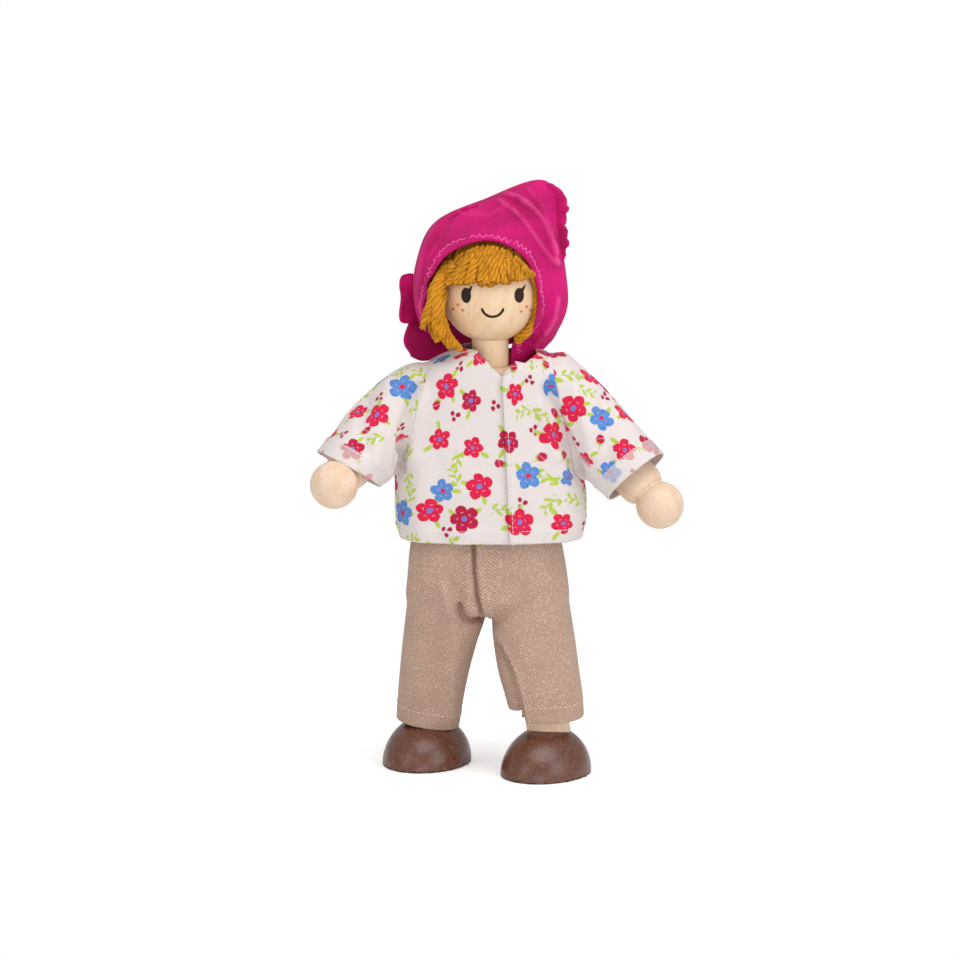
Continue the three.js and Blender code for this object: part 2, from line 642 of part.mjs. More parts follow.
// Shirt: a boxy body with a V neck, and sleeves cut wide at the armpit. Its levels hang from the shoulders.
const SHIRT_STEPS = 36;
const shirtLevels = [
  { drop: 39.5, middle: 0.4, half: 20.9, depth: 12.2, fold: 0.55 },
  { drop: 35.5, middle: 0.2, half: 22.1, depth: 12.1, fold: 0.4 },
  { drop: 28.5, middle: 0.0, half: 22.0, depth: 11.7, fold: 0.3 },
  { drop: 22.5, middle: -0.9, half: 20.8, depth: 11.2, fold: 0.25 },
  { drop: 14.5, middle: -0.7, half: 18.9, depth: 10.4, fold: 0.2 },
  { drop: 7, middle: -0.5, half: 17.6, depth: 9.8, fold: 0.1 },
  { drop: 2.3, middle: -0.3, half: 15.9, depth: 9.6, fold: 0 },
  { drop: -0.5, middle: 0, half: 13.2, depth: 8.9, fold: 0 },
  { drop: -1.9, middle: 0, half: 9.4, depth: 7.4, fold: 0 },
];
const FRONT_LAP = { from: 50, to: 82, height: 0.55 };
const NECK_HOLE_HALF = 6.0;
const NECK_HOLE_DEPTH = 5.4;
const NECK_HOLE_Z = SHOULDER_TOP_Z + 2.5;
const NECK_V_DROP = 2.4;

const shirtRings = shirtLevels.map(({ drop, middle, half, depth, fold }) => clothRing({
  centre: point(middle, 0, SHOULDER_TOP_Z - drop),
  halfA: point(half, 0, 0),
  halfB: point(0, -depth, 0),
  power: 2.7,
  folds: [{ count: 7, depth: fold, phase: 0.8 }, { count: 3, depth: fold / 2, phase: 2 }],
  lap: FRONT_LAP,
}, SHIRT_STEPS));
shirtRings.push(clothRing({
  centre: point(0, 0, NECK_HOLE_Z),
  halfA: point(NECK_HOLE_HALF, 0, 0),
  halfB: point(0, -NECK_HOLE_DEPTH, 0),
  power: 2,
  dip: (along, across) => (across > 0 ? NECK_V_DROP * Math.max(0, 1 - Math.abs(along) * 1.6) : 0),
}, SHIRT_STEPS));

// A place on a limb's line: 0 at its root, 1 at its elbow or knee, 2 at its hand or ankle
function onLimb(line, at) {
  const part = Math.min(1, Math.floor(at));
  return line[part].clone().lerp(line[part + 1], at - part);
}

// The rings of a sleeve or trouser leg hang round the limb inside: each lies at a place on the limb's line,
// and its outer and inner point, as seen from the front, and its way back are measured from that place
function sleeveRings(levels, line, steps, foldDepth) {
  const centres = levels.map(({ at, outer, inner, back }) => onLimb(line, at)
    .add(point((outer[0] + inner[0]) / 2, back, (outer[1] + inner[1]) / 2)));
  return levels.map(({ outer, inner, depth, ridges, lap }, i) => {
    const after = centres[Math.min(levels.length - 1, i + 1)];
    const ahead = after.clone().sub(centres[Math.max(0, i - 1)]);
    const halfA = point((outer[0] - inner[0]) / 2, 0, (outer[1] - inner[1]) / 2);
    if (i === 0) {
      ahead.setY(0);
    }
    const halfB = ahead.clone().cross(halfA).normalize().multiplyScalar(depth);
    return clothRing({
      centre: centres[i],
      halfA,
      halfB,
      power: 2.1,
      folds: [{ count: 5, depth: i === 0 ? 0 : foldDepth, phase: 0.6 }],
      ridges,
      lap,
    }, steps);
  });
}

const SLEEVE_STEPS = 26;
const SLEEVE_FOLD = 0.25;
const ARMHOLE_GAP = 0.7;
const sleeveLevels = {
  right: [
    { at: 0, outer: [4.6, 5.9], inner: [-2.4, -15], back: 0, depth: 8.0 },
    { at: 0.45, outer: [3.78, 11.4], inner: [-2.02, -12.5], back: -0.21, depth: 8.4 },
    { at: 0.75, outer: [0.83, 11.63], inner: [0.23, -10.97], back: -0.88, depth: 9.2 },
    { at: 1.1, outer: [-1.4, 9.82], inner: [3, -8.58], back: -0.76, depth: 10.0 },
    { at: 1.35, outer: [-4.75, 5.84], inner: [4.25, -7.16], back: 0.68, depth: 10.6 },
    { at: 1.65, outer: [-6.55, 3.27], inner: [5.95, -5.43], back: 0.74, depth: 8.6 },
  ],
  left: [
    { at: 0, outer: [-4.6, 5.9], inner: [1.8, -14.5], back: 0, depth: 8.0 },
    { at: 0.45, outer: [-3.56, 12.78], inner: [-0.46, -11.22], back: 0.32, depth: 8.4 },
    { at: 0.75, outer: [-0.09, 12.1], inner: [-1.89, -10.5], back: -0.57, depth: 8.6 },
    { at: 1.1, outer: [2.5, 9.6], inner: [-4.1, -8.1], back: -1.11, depth: 8.6 },
    { at: 1.35, outer: [4.62, 7.3], inner: [-5.38, -6.5], back: -0.93, depth: 8.3 },
    { at: 1.65, outer: [4.99, 6.58], inner: [-7.21, -4.22], back: -0.19, depth: 7.9 },
  ],
};
let shirtBody = clothTube(shirtRings, SHIRT_CLOTH);
Object.entries(sleeveLevels).forEach(([side, levels]) => {
  const rings = sleeveRings(levels, armLines[side], SLEEVE_STEPS, SLEEVE_FOLD);
  addPiece(`${side}_sleeve`, clothTube(rings, SHIRT_CLOTH), printedCotton(), figureFrame);
  shirtBody = shirtBody.subtract(filledTube(rings, ARMHOLE_GAP));
});
addPiece('shirt_body', shirtBody, printedCotton(), figureFrame);

// Trousers: a seat with elastic in its waist, and two wide legs with turned-up hems
const SEAT_STEPS = 32;
const FRONT_SEAM_ANGLE = 90;
const BACK_SEAM_ANGLE = 270;
const SEAM_WIDTH = 7;
const seatLevels = [
  { rise: 15.5, middle: 0, half: 13.9, depth: 10.3, power: 5, fold: 0, seam: 0 },
  { rise: 12.5, middle: -0.2, half: 14.6, depth: 10.3, power: 4.6, fold: 0.1, seam: 0.1 },
  { rise: 6, middle: -0.9, half: 17.2, depth: 10.0, power: 3.2, fold: 0.1, seam: 0.9 },
  { rise: -3, middle: -0.6, half: 18.3, depth: 10.4, power: 3.2, fold: 0.3, seam: 1.3 },
  { rise: -9.4, middle: -0.4, half: 19.2, depth: 9.8, power: 2.8, fold: 0.3, seam: 1.2 },
];
const seatRings = seatLevels.map(({ rise, middle, half, depth, power, fold, seam }) => clothRing({
  centre: point(middle, 0, HIP_Z + rise),
  halfA: point(half, 0, 0),
  halfB: point(0, -depth, 0),
  power,
  folds: [{ count: 6, depth: fold, phase: 0.3 }],
  ridges: [FRONT_SEAM_ANGLE, BACK_SEAM_ANGLE].map((at) => ({ angle: at, width: SEAM_WIDTH, height: -seam })),
}, SEAT_STEPS));
addPiece('trousers_seat', clothTube(seatRings, TWILL), twill(), figureFrame);

const ELASTIC_HALF = 12.4;
const ELASTIC_DEPTH = 8.8;
const ELASTIC_THICKNESS = 0.7;
const ELASTIC_RISE = 11.5;
const ELASTIC_WIDTH = 3;
const elasticRings = [ELASTIC_RISE, ELASTIC_RISE + ELASTIC_WIDTH].map((rise) => clothRing({
  centre: point(0, 0, HIP_Z + rise),
  halfA: point(ELASTIC_HALF, 0, 0),
  halfB: point(0, -ELASTIC_DEPTH, 0),
  power: 5,
}, SEAT_STEPS));
addPiece('waist_elastic', clothTube(elasticRings, ELASTIC_THICKNESS), elasticBand(), figureFrame);

const LEG_STEPS = 24;
const LEG_FOLD = 0.15;
const trouserLevels = {
  right: [
    { at: 0, outer: [-11.8, -10.1], inner: [6.7, -10.1], back: 1, depth: 9.0 },
    {
      at: 0.83, outer: [-10.3, 0.01], inner: [6.4, -0.59], back: -0.92, depth: 8.8,
      ridges: [{ angle: 285, width: 24, height: 0.5 }],
    },
    {
      at: 1.18, outer: [-9.95, -0.1], inner: [6.35, -0.3], back: -0.64, depth: 8.4,
      ridges: [{ angle: 278, width: 24, height: 0.7 }],
    },
    {
      at: 1.49, outer: [-9.68, 0.02], inner: [6.32, 0.32], back: -0.21, depth: 8.1,
      ridges: [{ angle: 270, width: 24, height: 0.8 }],
    },
    {
      at: 1.68, outer: [-9.19, -0.05], inner: [6.31, 0.15], back: 0.02, depth: 7.9,
      ridges: [{ angle: 266, width: 24, height: 0.7 }],
    },
  ],
  left: [
    { at: 0, outer: [11, -10.1], inner: [-7.4, -10.1], back: -0.8, depth: 9.4 },
    {
      at: 0.81, outer: [9.49, -0.05], inner: [-9.11, -0.05], back: 2.16, depth: 9.5,
      lap: { from: 115, to: 165, height: 0.3 },
    },
    {
      at: 1.15, outer: [9.3, 0.06], inner: [-9.3, -0.54], back: 2.21, depth: 9.2,
      lap: { from: 100, to: 150, height: 0.7 },
    },
    {
      at: 1.39, outer: [9.13, 0.19], inner: [-8.97, -1.11], back: 1.56, depth: 8.7,
      lap: { from: 85, to: 135, height: 0.9 },
    },
    {
      at: 1.55, outer: [8.84, 0.34], inner: [-8.56, -1.36], back: 1.39, depth: 8.2,
      lap: { from: 70, to: 120, height: 0.9 },
    },
  ],
};
Object.entries(trouserLevels).forEach(([side, levels]) => {
  const rings = sleeveRings(levels, legLines[side], LEG_STEPS, LEG_FOLD);
  addPiece(`${side}_trouser_leg`, clothTube(rings, TWILL), twill(), figureFrame);
});

// Hair: yarn glued over the crown, a trimmed fringe, and loose locks at the sides
const ballAt = (radius, x, z, columns = 24, rows = 14) => solidOf(
  new THREE.SphereGeometry(radius, columns, rows).rotateX(Math.PI / 2),
).translate(x, 0, z);
const overScalp = ballAt(HEAD_RADIUS + SEAT_GAP, 0, HEAD_Z, 32, 18);
const CAP_SHIFT_X = -0.9;
const CAP_BOTTOM_Z = HEAD_Z - 10.2;
const FAR = 60;
const behindFringe = block(FAR, FAR, FAR).translate(0, FRINGE_BACK_Y + FAR / 2, CAP_BOTTOM_Z + FAR / 2);
const beforeCap = block(FAR, FAR, FAR).translate(0, FRINGE_BACK_Y - SEAT_GAP - FAR / 2, FRINGE_Z + FAR / 2);
addPiece('hair_cap', ballAt(HAIR_RADIUS, CAP_SHIFT_X, HEAD_Z).subtract(overScalp).intersect(behindFringe),
  yarn(), figureFrame);
addPiece('hair_fringe', ballAt(FRINGE_RADIUS, CAP_SHIFT_X, HEAD_Z).subtract(overScalp).intersect(beforeCap),
  yarn(), figureFrame);
const rightLocks = [
  { points: [[-12.2, -9.9, 3.8], [-13.6, -9.4, -0.7], [-15.1, -9.0, -4.2], [-16.2, -8.6, -7.2]], root: 1.5, end: 1.2 },
  { points: [[-11.8, -10.2, 1], [-12.4, -10.3, -2.7], [-12.0, -9.9, -9.4]], root: 1.6, end: 1.4 },
  { points: [[-11.5, -8.2, -3.7], [-10.4, -8.3, -8.2], [-7.4, -6.8, -11.6]], root: 1.7, end: 1.4 },
].map(({ points, root, end }) => yarnLock(points, root, end)).reduce((all, one) => all.add(one));
addPiece('right_hair_locks', rightLocks, yarn(), figureFrame);
const leftLock = yarnLock([[9.9, -6.6, -3], [9.1, -6.4, -6.7], [7.0, -5.8, -10]], 0.75, 0.8);
addPiece('left_hair_lock', leftLock, yarn(), figureFrame);

// Kerchief: rows run from the face edge over the widest part to the gather at the nape
const hoodRows = [
  [[-15.2, -4, -7.2], [-15.6, -6, -2.2], [-13.7, -8, 5.3], [-9.4, -9.5, 11], [-0.7, -10.5, 14],
    [7.1, -9.8, 10.4], [10.9, -8.6, 3.8], [11.2, -7.4, -2.7], [8.9, 1.0, -11.4]],
  [[-15.7, 2, -8.7], [-17.6, 1.5, -2.2], [-17.2, 1, 6.3], [-13.2, 0.5, 15], [-2.8, 0.5, 19.8],
    [11.7, 1, 25.3], [16.2, 0.5, 12.3], [17.7, 1, -1.8], [13.3, 5, -12.7]],
  [[-11.2, 9, -10.7], [-15.7, 9.5, -3.7], [-15.2, 9.5, 5.8], [-11.7, 9.5, 14.8], [-1.2, 10.5, 19.8],
    [10.8, 8.5, 22.8], [15.3, 9, 11.8], [15.8, 8.5, -2.7], [11.2, 10.4, -12.7]],
  [[-6.2, 13.4, -11.7], [-8.7, 15, -6.2], [-9.2, 15.5, 0.8], [-7.2, 16, 6.8], [-0.7, 17, 9.8],
    [5.8, 16, 9.8], [8.3, 15.5, 3.8], [8.6, 14.8, -4.7], [6.8, 13.6, -12.7]],
  [[-2.2, 14.6, -12.4], [-2.7, 16.5, -9.2], [-2.7, 17.5, -5.7], [-2.2, 18, -3.2], [-0.7, 18.5, -2.2],
    [0.8, 18.3, -2.7], [1.3, 17.5, -4.7], [1.3, 16.5, -8.2], [2.3, 14.9, -12.4]],
].map((row) => row.map(onHead));
addPiece('kerchief_hood', clothSheet(smoothNet(hoodRows, 14, 30), JERSEY), jersey(), figureFrame);

// The kerchief's two corners are tied behind the right ear: a knot, a loop and a short tail
const KNOT_RADIUS = 2.5;
const knot = solidOf(new THREE.SphereGeometry(KNOT_RADIUS, 16, 10).scale(1.1, 0.9, 1.15))
  .translate(-12.8, 15.2, HEAD_Z - 7.6);
addPiece('kerchief_knot', knot, jersey(), figureFrame);
const loopRows = [
  [[-14.9, 13.2, -3.6], [-18.2, 11.6, 3], [-20.6, 7.6, 4.2], [-20.2, 3.9, 3.4]],
  [[-16.0, 13.4, -5.4], [-19.0, 11.2, -2], [-21.0, 7.2, -2], [-20.7, 3.4, -2]],
  [[-16.4, 12.2, -7.6], [-19.4, 9.6, -7.6], [-20.4, 6.4, -7.8], [-20.2, 4.0, -7.2]],
].map((row) => row.map(onHead));
addPiece('kerchief_loop', clothSheet(smoothNet(loopRows, 6, 10), JERSEY), jersey(), figureFrame);
const tailRows = [
  [[-18.8, 8.0, -8.6], [-16.4, 11.4, -9.4], [-11.6, 14.6, -11.2], [-7.2, 15.6, -12.8]],
  [[-19.4, 7.6, -11.4], [-16.0, 10.6, -12.4], [-11.8, 12.8, -13.4], [-8.2, 13.6, -14.4]],
  [[-17.8, 8.2, -13.4], [-14.4, 10.8, -14.8], [-11.4, 12.2, -15.4], [-9.2, 12.6, -15.8]],
].map((row) => row.map(onHead));
addPiece('kerchief_tail', clothSheet(smoothNet(tailRows, 6, 10), JERSEY), jersey(), figureFrame);

export default figure;
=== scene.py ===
import json
import math
from contextlib import contextmanager

import bmesh
import bpy
import numpy as np
from mathutils import Matrix, Vector
from mathutils.bvhtree import BVHTree


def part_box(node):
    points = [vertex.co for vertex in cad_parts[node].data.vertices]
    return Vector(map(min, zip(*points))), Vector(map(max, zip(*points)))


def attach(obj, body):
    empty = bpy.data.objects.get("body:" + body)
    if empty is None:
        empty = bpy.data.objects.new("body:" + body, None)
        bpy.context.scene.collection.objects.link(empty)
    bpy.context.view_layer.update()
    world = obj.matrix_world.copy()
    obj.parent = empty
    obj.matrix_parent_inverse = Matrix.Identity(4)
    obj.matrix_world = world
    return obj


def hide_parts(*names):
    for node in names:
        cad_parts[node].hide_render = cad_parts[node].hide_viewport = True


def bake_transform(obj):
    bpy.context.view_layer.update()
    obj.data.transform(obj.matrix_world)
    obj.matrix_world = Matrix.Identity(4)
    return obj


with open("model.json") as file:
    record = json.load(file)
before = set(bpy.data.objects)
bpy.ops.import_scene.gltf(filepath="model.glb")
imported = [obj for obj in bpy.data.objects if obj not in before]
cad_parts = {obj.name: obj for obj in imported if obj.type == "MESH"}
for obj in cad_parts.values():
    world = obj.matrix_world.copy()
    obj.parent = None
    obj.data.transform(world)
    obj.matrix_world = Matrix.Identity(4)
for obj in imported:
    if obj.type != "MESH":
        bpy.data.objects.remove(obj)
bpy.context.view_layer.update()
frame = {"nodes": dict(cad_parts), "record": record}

# Torso, shoulder hubs, upper arms, thighs and shins: beech, sawn or cut from dowel, drilled and slotted,
# sanded with soft edges and left clear. Most of it is inside the clothes; one shin shows over its shoe.
MM = 0.001
SIDES = ("right", "left")
SOFT_EDGE = 0.16


def linear(hex_colour):
    """An sRGB hex colour as the linear colour that a shader takes."""
    parts = [int(hex_colour[i:i + 2], 16) / 255 for i in (1, 3, 5)]
    return [c / 12.92 if c <= 0.04045 else ((c + 0.055) / 1.055) ** 2.4 for c in parts] + [1.0]


def set_inputs(tree, node, inputs):
    """Sets a node's inputs: each is a value, a Sum, or the output socket that it takes."""
    for name, value in inputs.items():
        value = value.value if isinstance(value, Sum) else value
        if isinstance(value, bpy.types.NodeSocket):
            tree.links.new(value, node.inputs[name])
        else:
            node.inputs[name].default_value = value


def add_node(tree, kind, inputs=None, **settings):
    """One node with its settings and inputs."""
    made = tree.nodes.new(kind)
    for name, value in settings.items():
        setattr(made, name, value)
    set_inputs(tree, made, inputs or {})
    return made


class Sum:
    """A number that nodes work out, so that a pattern can be written as sums."""

    def __init__(self, tree, value):
        self.tree, self.value = tree, value

    def work(self, kind, *others):
        made = add_node(self.tree, "ShaderNodeMath", dict(enumerate((self, *others))), operation=kind)
        return Sum(self.tree, made.outputs["Value"])

    __add__ = lambda self, other: self.work("ADD", other)
    __sub__ = lambda self, other: self.work("SUBTRACT", other)
    __rsub__ = lambda self, other: Sum(self.tree, other) - self
    __mul__ = lambda self, other: self.work("MULTIPLY", other)
    __truediv__ = lambda self, other: self.work("DIVIDE", other)
    __mod__ = lambda self, other: self.work("FLOORED_MODULO", other)
    __pow__ = lambda self, other: self.work("POWER", other)
    __gt__ = lambda self, other: self.work("GREATER_THAN", other)
    __lt__ = lambda self, other: self.work("LESS_THAN", other)
    __abs__ = lambda self: self.work("ABSOLUTE")

    def ranged(self, low=0.0, high=1.0, to_low=0.0, to_high=1.0):
        """The number stretched from one range to another and kept inside it."""
        made = add_node(self.tree, "ShaderNodeMapRange", {
            "Value": self, "From Min": low, "From Max": high, "To Min": to_low, "To Max": to_high})
        return Sum(self.tree, made.outputs["Result"])

    def paint(self, under, over):
        """The colour under where the number is 0, and the colour over where it is 1."""
        under, over = [linear(c) if isinstance(c, str) else c for c in (under, over)]
        return add_node(self.tree, "ShaderNodeMix", {0: self, 6: under, 7: over}, data_type="RGBA").outputs[2]

    def bump(self, strength, depth=0.0001):
        """The surface's direction with this number as its relief, `depth` metres high."""
        made = add_node(self.tree, "ShaderNodeBump", {"Height": self, "Strength": strength, "Distance": depth})
        return made.outputs["Normal"]


def noise(tree, place, scale, detail, roughness=0.5, output="Fac"):
    """Random patches, `scale` of them to one unit of the place."""
    made = add_node(tree, "ShaderNodeTexNoise", {
        "Vector": place, "Scale": scale, "Detail": detail, "Roughness": roughness})
    return Sum(tree, made.outputs[output])


def object_place(tree):
    return add_node(tree, "ShaderNodeTexCoord").outputs["Object"]


def start_material(name):
    """A material with its shader and output, and the tree to build in."""
    made = bpy.data.materials.new(name)
    made.use_nodes = True
    tree = made.node_tree
    tree.nodes.clear()
    shader = add_node(tree, "ShaderNodeBsdfPrincipled")
    add_node(tree, "ShaderNodeOutputMaterial", {"Surface": shader.outputs["BSDF"]})
    return made, tree, shader


def beech(name, along, pale="#efd7c1", dark="#e3c1a1"):
    """Sanded beech: straight pale fibres that run along `along`, short darker flecks, a dull even sheen."""
    made, tree, shader = start_material(name)
    turn = Vector(along).normalized().to_track_quat("Z", "Y").inverted().to_euler()
    turned_place = add_node(tree, "ShaderNodeMapping", {"Vector": object_place(tree), "Rotation": turn})

    def streaks(scale, detail, roughness=0.5):
        long_place = add_node(tree, "ShaderNodeMapping", {
            "Vector": turned_place.outputs["Vector"], "Scale": scale})
        return noise(tree, long_place.outputs["Vector"], 1.0, detail, roughness)

    fibres = streaks((2000, 2000, 110), 4.0, 0.6)  # about 0.5 mm apart and 9 mm long
    bands = streaks((330, 330, 25), 2.0)  # growth bands about 3 mm wide
    flecks = streaks((3600, 3600, 900), 1.0)  # about 0.25 mm wide and 1.2 mm long
    colour = (fibres + bands).ranged(0.7, 1.3).paint(pale, dark)
    set_inputs(tree, shader, {
        "Base Color": flecks.ranged(0.62, 0.72, 0, 0.35).paint(colour, "#cf9f72"),
        "Roughness": fibres.ranged(0, 1, 0.46, 0.62), "Normal": fibres.bump(0.12), "Specular IOR Level": 0.35})
    return made


@contextmanager
def edited(obj):
    """A piece's mesh opened for editing, and written back afterwards."""
    work = bmesh.new()
    work.from_mesh(obj.data)
    yield work
    work.to_mesh(obj.data)
    work.free()


def new_object(name, data):
    obj = bpy.data.objects.new(name, data)
    bpy.context.scene.collection.objects.link(obj)
    return obj


def give(obj, body, slot, *nodes):
    """Tells the frame which body carries a piece and the solids that it stands for; `slot`, its material slot, is
    not used.
    """
    if body:
        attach(obj, body)
    if nodes:
        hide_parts(*nodes)
    return obj


def softened_copy(node, name, material, slot):
    """A CAD solid's own shape with its doubles merged and its cut edges sanded round, in its place."""
    obj = new_object(name, frame["nodes"][node].data.copy())
    with edited(obj) as work:
        bmesh.ops.remove_doubles(work, verts=work.verts, dist=2e-6)
        bmesh.ops.dissolve_limit(work, angle_limit=math.radians(1.5), verts=work.verts, edges=work.edges)
    obj.data.shade_smooth()
    obj.data.set_sharp_from_angle(angle=math.radians(32))
    edges = obj.modifiers.new("sanded_edges", "BEVEL")
    edges.width = SOFT_EDGE * MM
    edges.segments = 2
    edges.angle_limit = math.radians(40)
    obj.data.materials.clear()
    obj.data.materials.append(material)
    bodies = frame["record"]["behaviour"]["bodies"]
    give(obj, next((body for body, nodes in bodies.items() if node in nodes), None), slot, node)


upright_beech = beech("beech_upright_grain", (0, 0, 1))
LIMB_PARTS = ("shoulder_hub", "upper_arm", "thigh", "shin")
for node in ["torso"] + [f"{side}_{part}" for part in LIMB_PARTS for side in SIDES]:
    softened_copy(node, f"{node}_wood", upright_beech, "beech")

# Pegs: plain birch rod, cut short, that pin the tongues in their forks. They are a little darker than
# the beech and have no finish.
peg_wood = beech("birch_peg", (1, 0, 0), "#e0c094", "#c8a271")
for node in [f"{side}_{joint}_pin" for joint in ("shoulder", "elbow", "hip", "knee") for side in SIDES]:
    softened_copy(node, f"{node}_peg", peg_wood, "peg_wood")

# Head and neck: a ball turned from beech, sanded very fine, on a length of dowel with upright grain. The
# eyes, smile and freckles are pad printed ink, so thin that only its colour shows.
SPINE = np.array([-1.8, 1.5, 0.0])
HEAD_Z = 112.2
HEAD = SPINE + (0, 0, HEAD_Z)
HEAD_RADIUS = 11.3
INK = 0.035
NECK_LENGTH, NECK_RADIUS = 20.2, 4.25


def new_mesh(name, points, faces, material):
    """A smooth mesh piece from points in millimetres."""
    mesh = bpy.data.meshes.new(name)
    mesh.from_pydata([tuple(p) for p in np.asarray(points, float) * MM], [], faces)
    mesh.materials.append(material)
    mesh.shade_smooth()
    return new_object(name, mesh)


def turned(name, profile, start, end, material, segments=96):
    """A piece turned on the lathe: (radius, distance) pairs along the line from start towards end, in mm."""
    start, end = Vector(start), Vector(end)
    turn = (end - start).to_track_quat("Z", "Y")
    points, faces, rows = [], [], []
    for radius, along in profile:
        steps = 1 if radius < 1e-6 else segments
        rows.append(list(range(len(points), len(points) + steps)))
        for i in range(steps):
            angle = 2 * math.pi * i / segments
            reach = radius if steps > 1 else 0
            points.append(start + turn @ Vector((reach * math.cos(angle), reach * math.sin(angle), along)))
    for a, b in zip(rows, rows[1:]):
        for i in range(segments):
            j = (i + 1) % segments
            if len(a) == 1:
                faces.append((a[0], b[j], b[i]))
            elif len(b) == 1:
                faces.append((a[i], a[j], b[0]))
            else:
                faces.append((a[i], a[j], b[j], b[i]))
    return new_mesh(name, points, faces, material)


def arc_profile(radius, centre, first, last, steps):
    """Points of an arc about a centre on the axis, from one angle to another in degrees."""
    angles = [math.radians(first + (last - first) * i / steps) for i in range(steps + 1)]
    return [(max(0.0, radius * math.cos(a)), centre + radius * math.sin(a)) for a in angles]


ball_beech = beech("beech_ball", (0.25, 0.1, 1), "#f3d8b6", "#e9c194")
head = turned("head_ball", arc_profile(HEAD_RADIUS, 0, -90, 90, 64), HEAD, HEAD + (0, 0, 1), ball_beech, 128)
give(head, "head", "beech", "head")
# the neck's beech is paler than the ball's: painted light against the shadow of the head
neck_beech = beech("beech_neck", (0, 0, 1), "#ffe6c4", "#f6cda4")
neck_profile = [(0, 0), (NECK_RADIUS - 0.25, 0), (NECK_RADIUS, 0.3), (NECK_RADIUS, 10),
                (NECK_RADIUS, NECK_LENGTH), (0, NECK_LENGTH)]
neck = turned("neck_dowel_wood", neck_profile, SPINE + (0, 0, 84), SPINE + (0, 0, 85), neck_beech)
neck.data.set_sharp_from_angle(angle=math.radians(35))
give(neck, "head", "beech", "neck_dowel")


def on_head(x, z):
    """The point on the front of the head ball at x across and z up from its middle, with the ink's height."""
    y = -math.sqrt(max(0.0, HEAD_RADIUS ** 2 - x * x - z * z))
    return HEAD + np.array([x, y, z]) * (1 + INK / HEAD_RADIUS)


def net_faces(rows, columns, closed=False, base=0, flip=False):
    """Faces of a net of points in rows; a closed net joins its last column to its first."""
    faces = []
    for r in range(rows - 1):
        for c in range(columns if closed else columns - 1):
            a, b = base + r * columns + c, base + r * columns + (c + 1) % columns
            faces.append((a, a + columns, b + columns, b) if flip else (a, b, b + columns, a + columns))
    return faces


def printed_oval(x, z, half_x, half_z, tilt=0):
    """Points and faces of a printed oval on the head ball."""
    rings, steps = 5, 40
    points = [on_head(x, z)]
    for r in range(1, rings + 1):
        for angle in np.arange(steps) * 2 * math.pi / steps:
            a, b = half_x * r / rings * math.cos(angle), half_z * r / rings * math.sin(angle)
            points.append(on_head(x + a * math.cos(tilt) - b * math.sin(tilt),
                                  z + a * math.sin(tilt) + b * math.cos(tilt)))
    fan = [(0, 1 + i, 1 + (i + 1) % steps) for i in range(steps)]
    return points, fan + net_faces(rings, steps, closed=True, base=1)


def printed_stroke(path, widths):
    """Points and faces of a printed line along a path on the head ball, with its width at each point."""
    path = np.array(path, float)
    ahead = np.gradient(path, axis=0)
    ahead /= np.linalg.norm(ahead, axis=1)[:, None]
    side = np.stack([-ahead[:, 1], ahead[:, 0]], axis=1)
    points = [on_head(*(p + s * width * share)) for p, s, width in zip(path, side, widths)
              for share in np.linspace(-0.5, 0.5, 5)]
    return points, net_faces(len(path), 5)


def printed(name, shapes, material):
    """One printed colour: all its shapes as one mesh that faces out."""
    points, faces = [], []
    for shape_points, shape_faces in shapes:
        faces += [tuple(i + len(points) for i in face) for face in shape_faces]
        points += shape_points
    obj = new_mesh(name, points, faces, material)
    with edited(obj) as work:
        for face in work.faces:
            if face.normal.dot(face.calc_center_median() - Vector(HEAD * MM)) < 0:
                face.normal_flip()
    give(obj, "head", "beech")


def ink(name, colour):
    """Pad printing ink: flat colour with a slight satin gloss, thinner where the wood's grain stands up."""
    made, tree, shader = start_material(name)
    specks = noise(tree, object_place(tree), 3500.0, 2.0)
    set_inputs(tree, shader, {
        "Base Color": specks.ranged(0.55, 0.8, 0, 0.08).paint(colour, "#c9a077"),
        "Roughness": 0.55, "Specular IOR Level": 0.3})
    return made


smile_angles = np.radians(np.linspace(-172, -9, 40))
smile = np.stack([0.55 + 2.5 * np.cos(smile_angles), -1.5 + 2.45 * np.sin(smile_angles)], axis=1)
from_end = np.minimum(np.linspace(0, 1, 40), np.linspace(1, 0, 40))
smile_widths = 0.6 * np.sqrt(np.clip((from_end + 0.002) / 0.06, 0.02, 1))
left_lash = [(-4.9 + 0.75 * t, 1.9 + 0.95 * t + 0.25 * t * t) for t in np.linspace(0, 1, 12)]
right_lash = [(7.05 + 1.0 * t, 1.7 + 0.85 * t + 0.45 * t * t) for t in np.linspace(0, 1, 12)]
printed("printed_face", [
    printed_oval(-5.5, 0.85, 1.13, 1.75),
    printed_oval(6.6, 0.75, 1.1, 1.7, 0.05),
    printed_stroke(left_lash, np.linspace(1.05, 0.16, 12)),
    printed_stroke(right_lash, np.linspace(1.15, 0.16, 12)),
    printed_stroke(smile, smile_widths),
], ink("dark_brown_ink", "#241209"))
freckles = ((-8.48, -2.68), (-7.4, -1.48), (-6.25, -2.7), (7.09, -3.07), (8.33, -2.07), (9.28, -3.14))
printed("printed_freckles", [printed_oval(x, z, 0.36, 0.33) for x, z in freckles], ink("orange_ink", "#e27d45"))

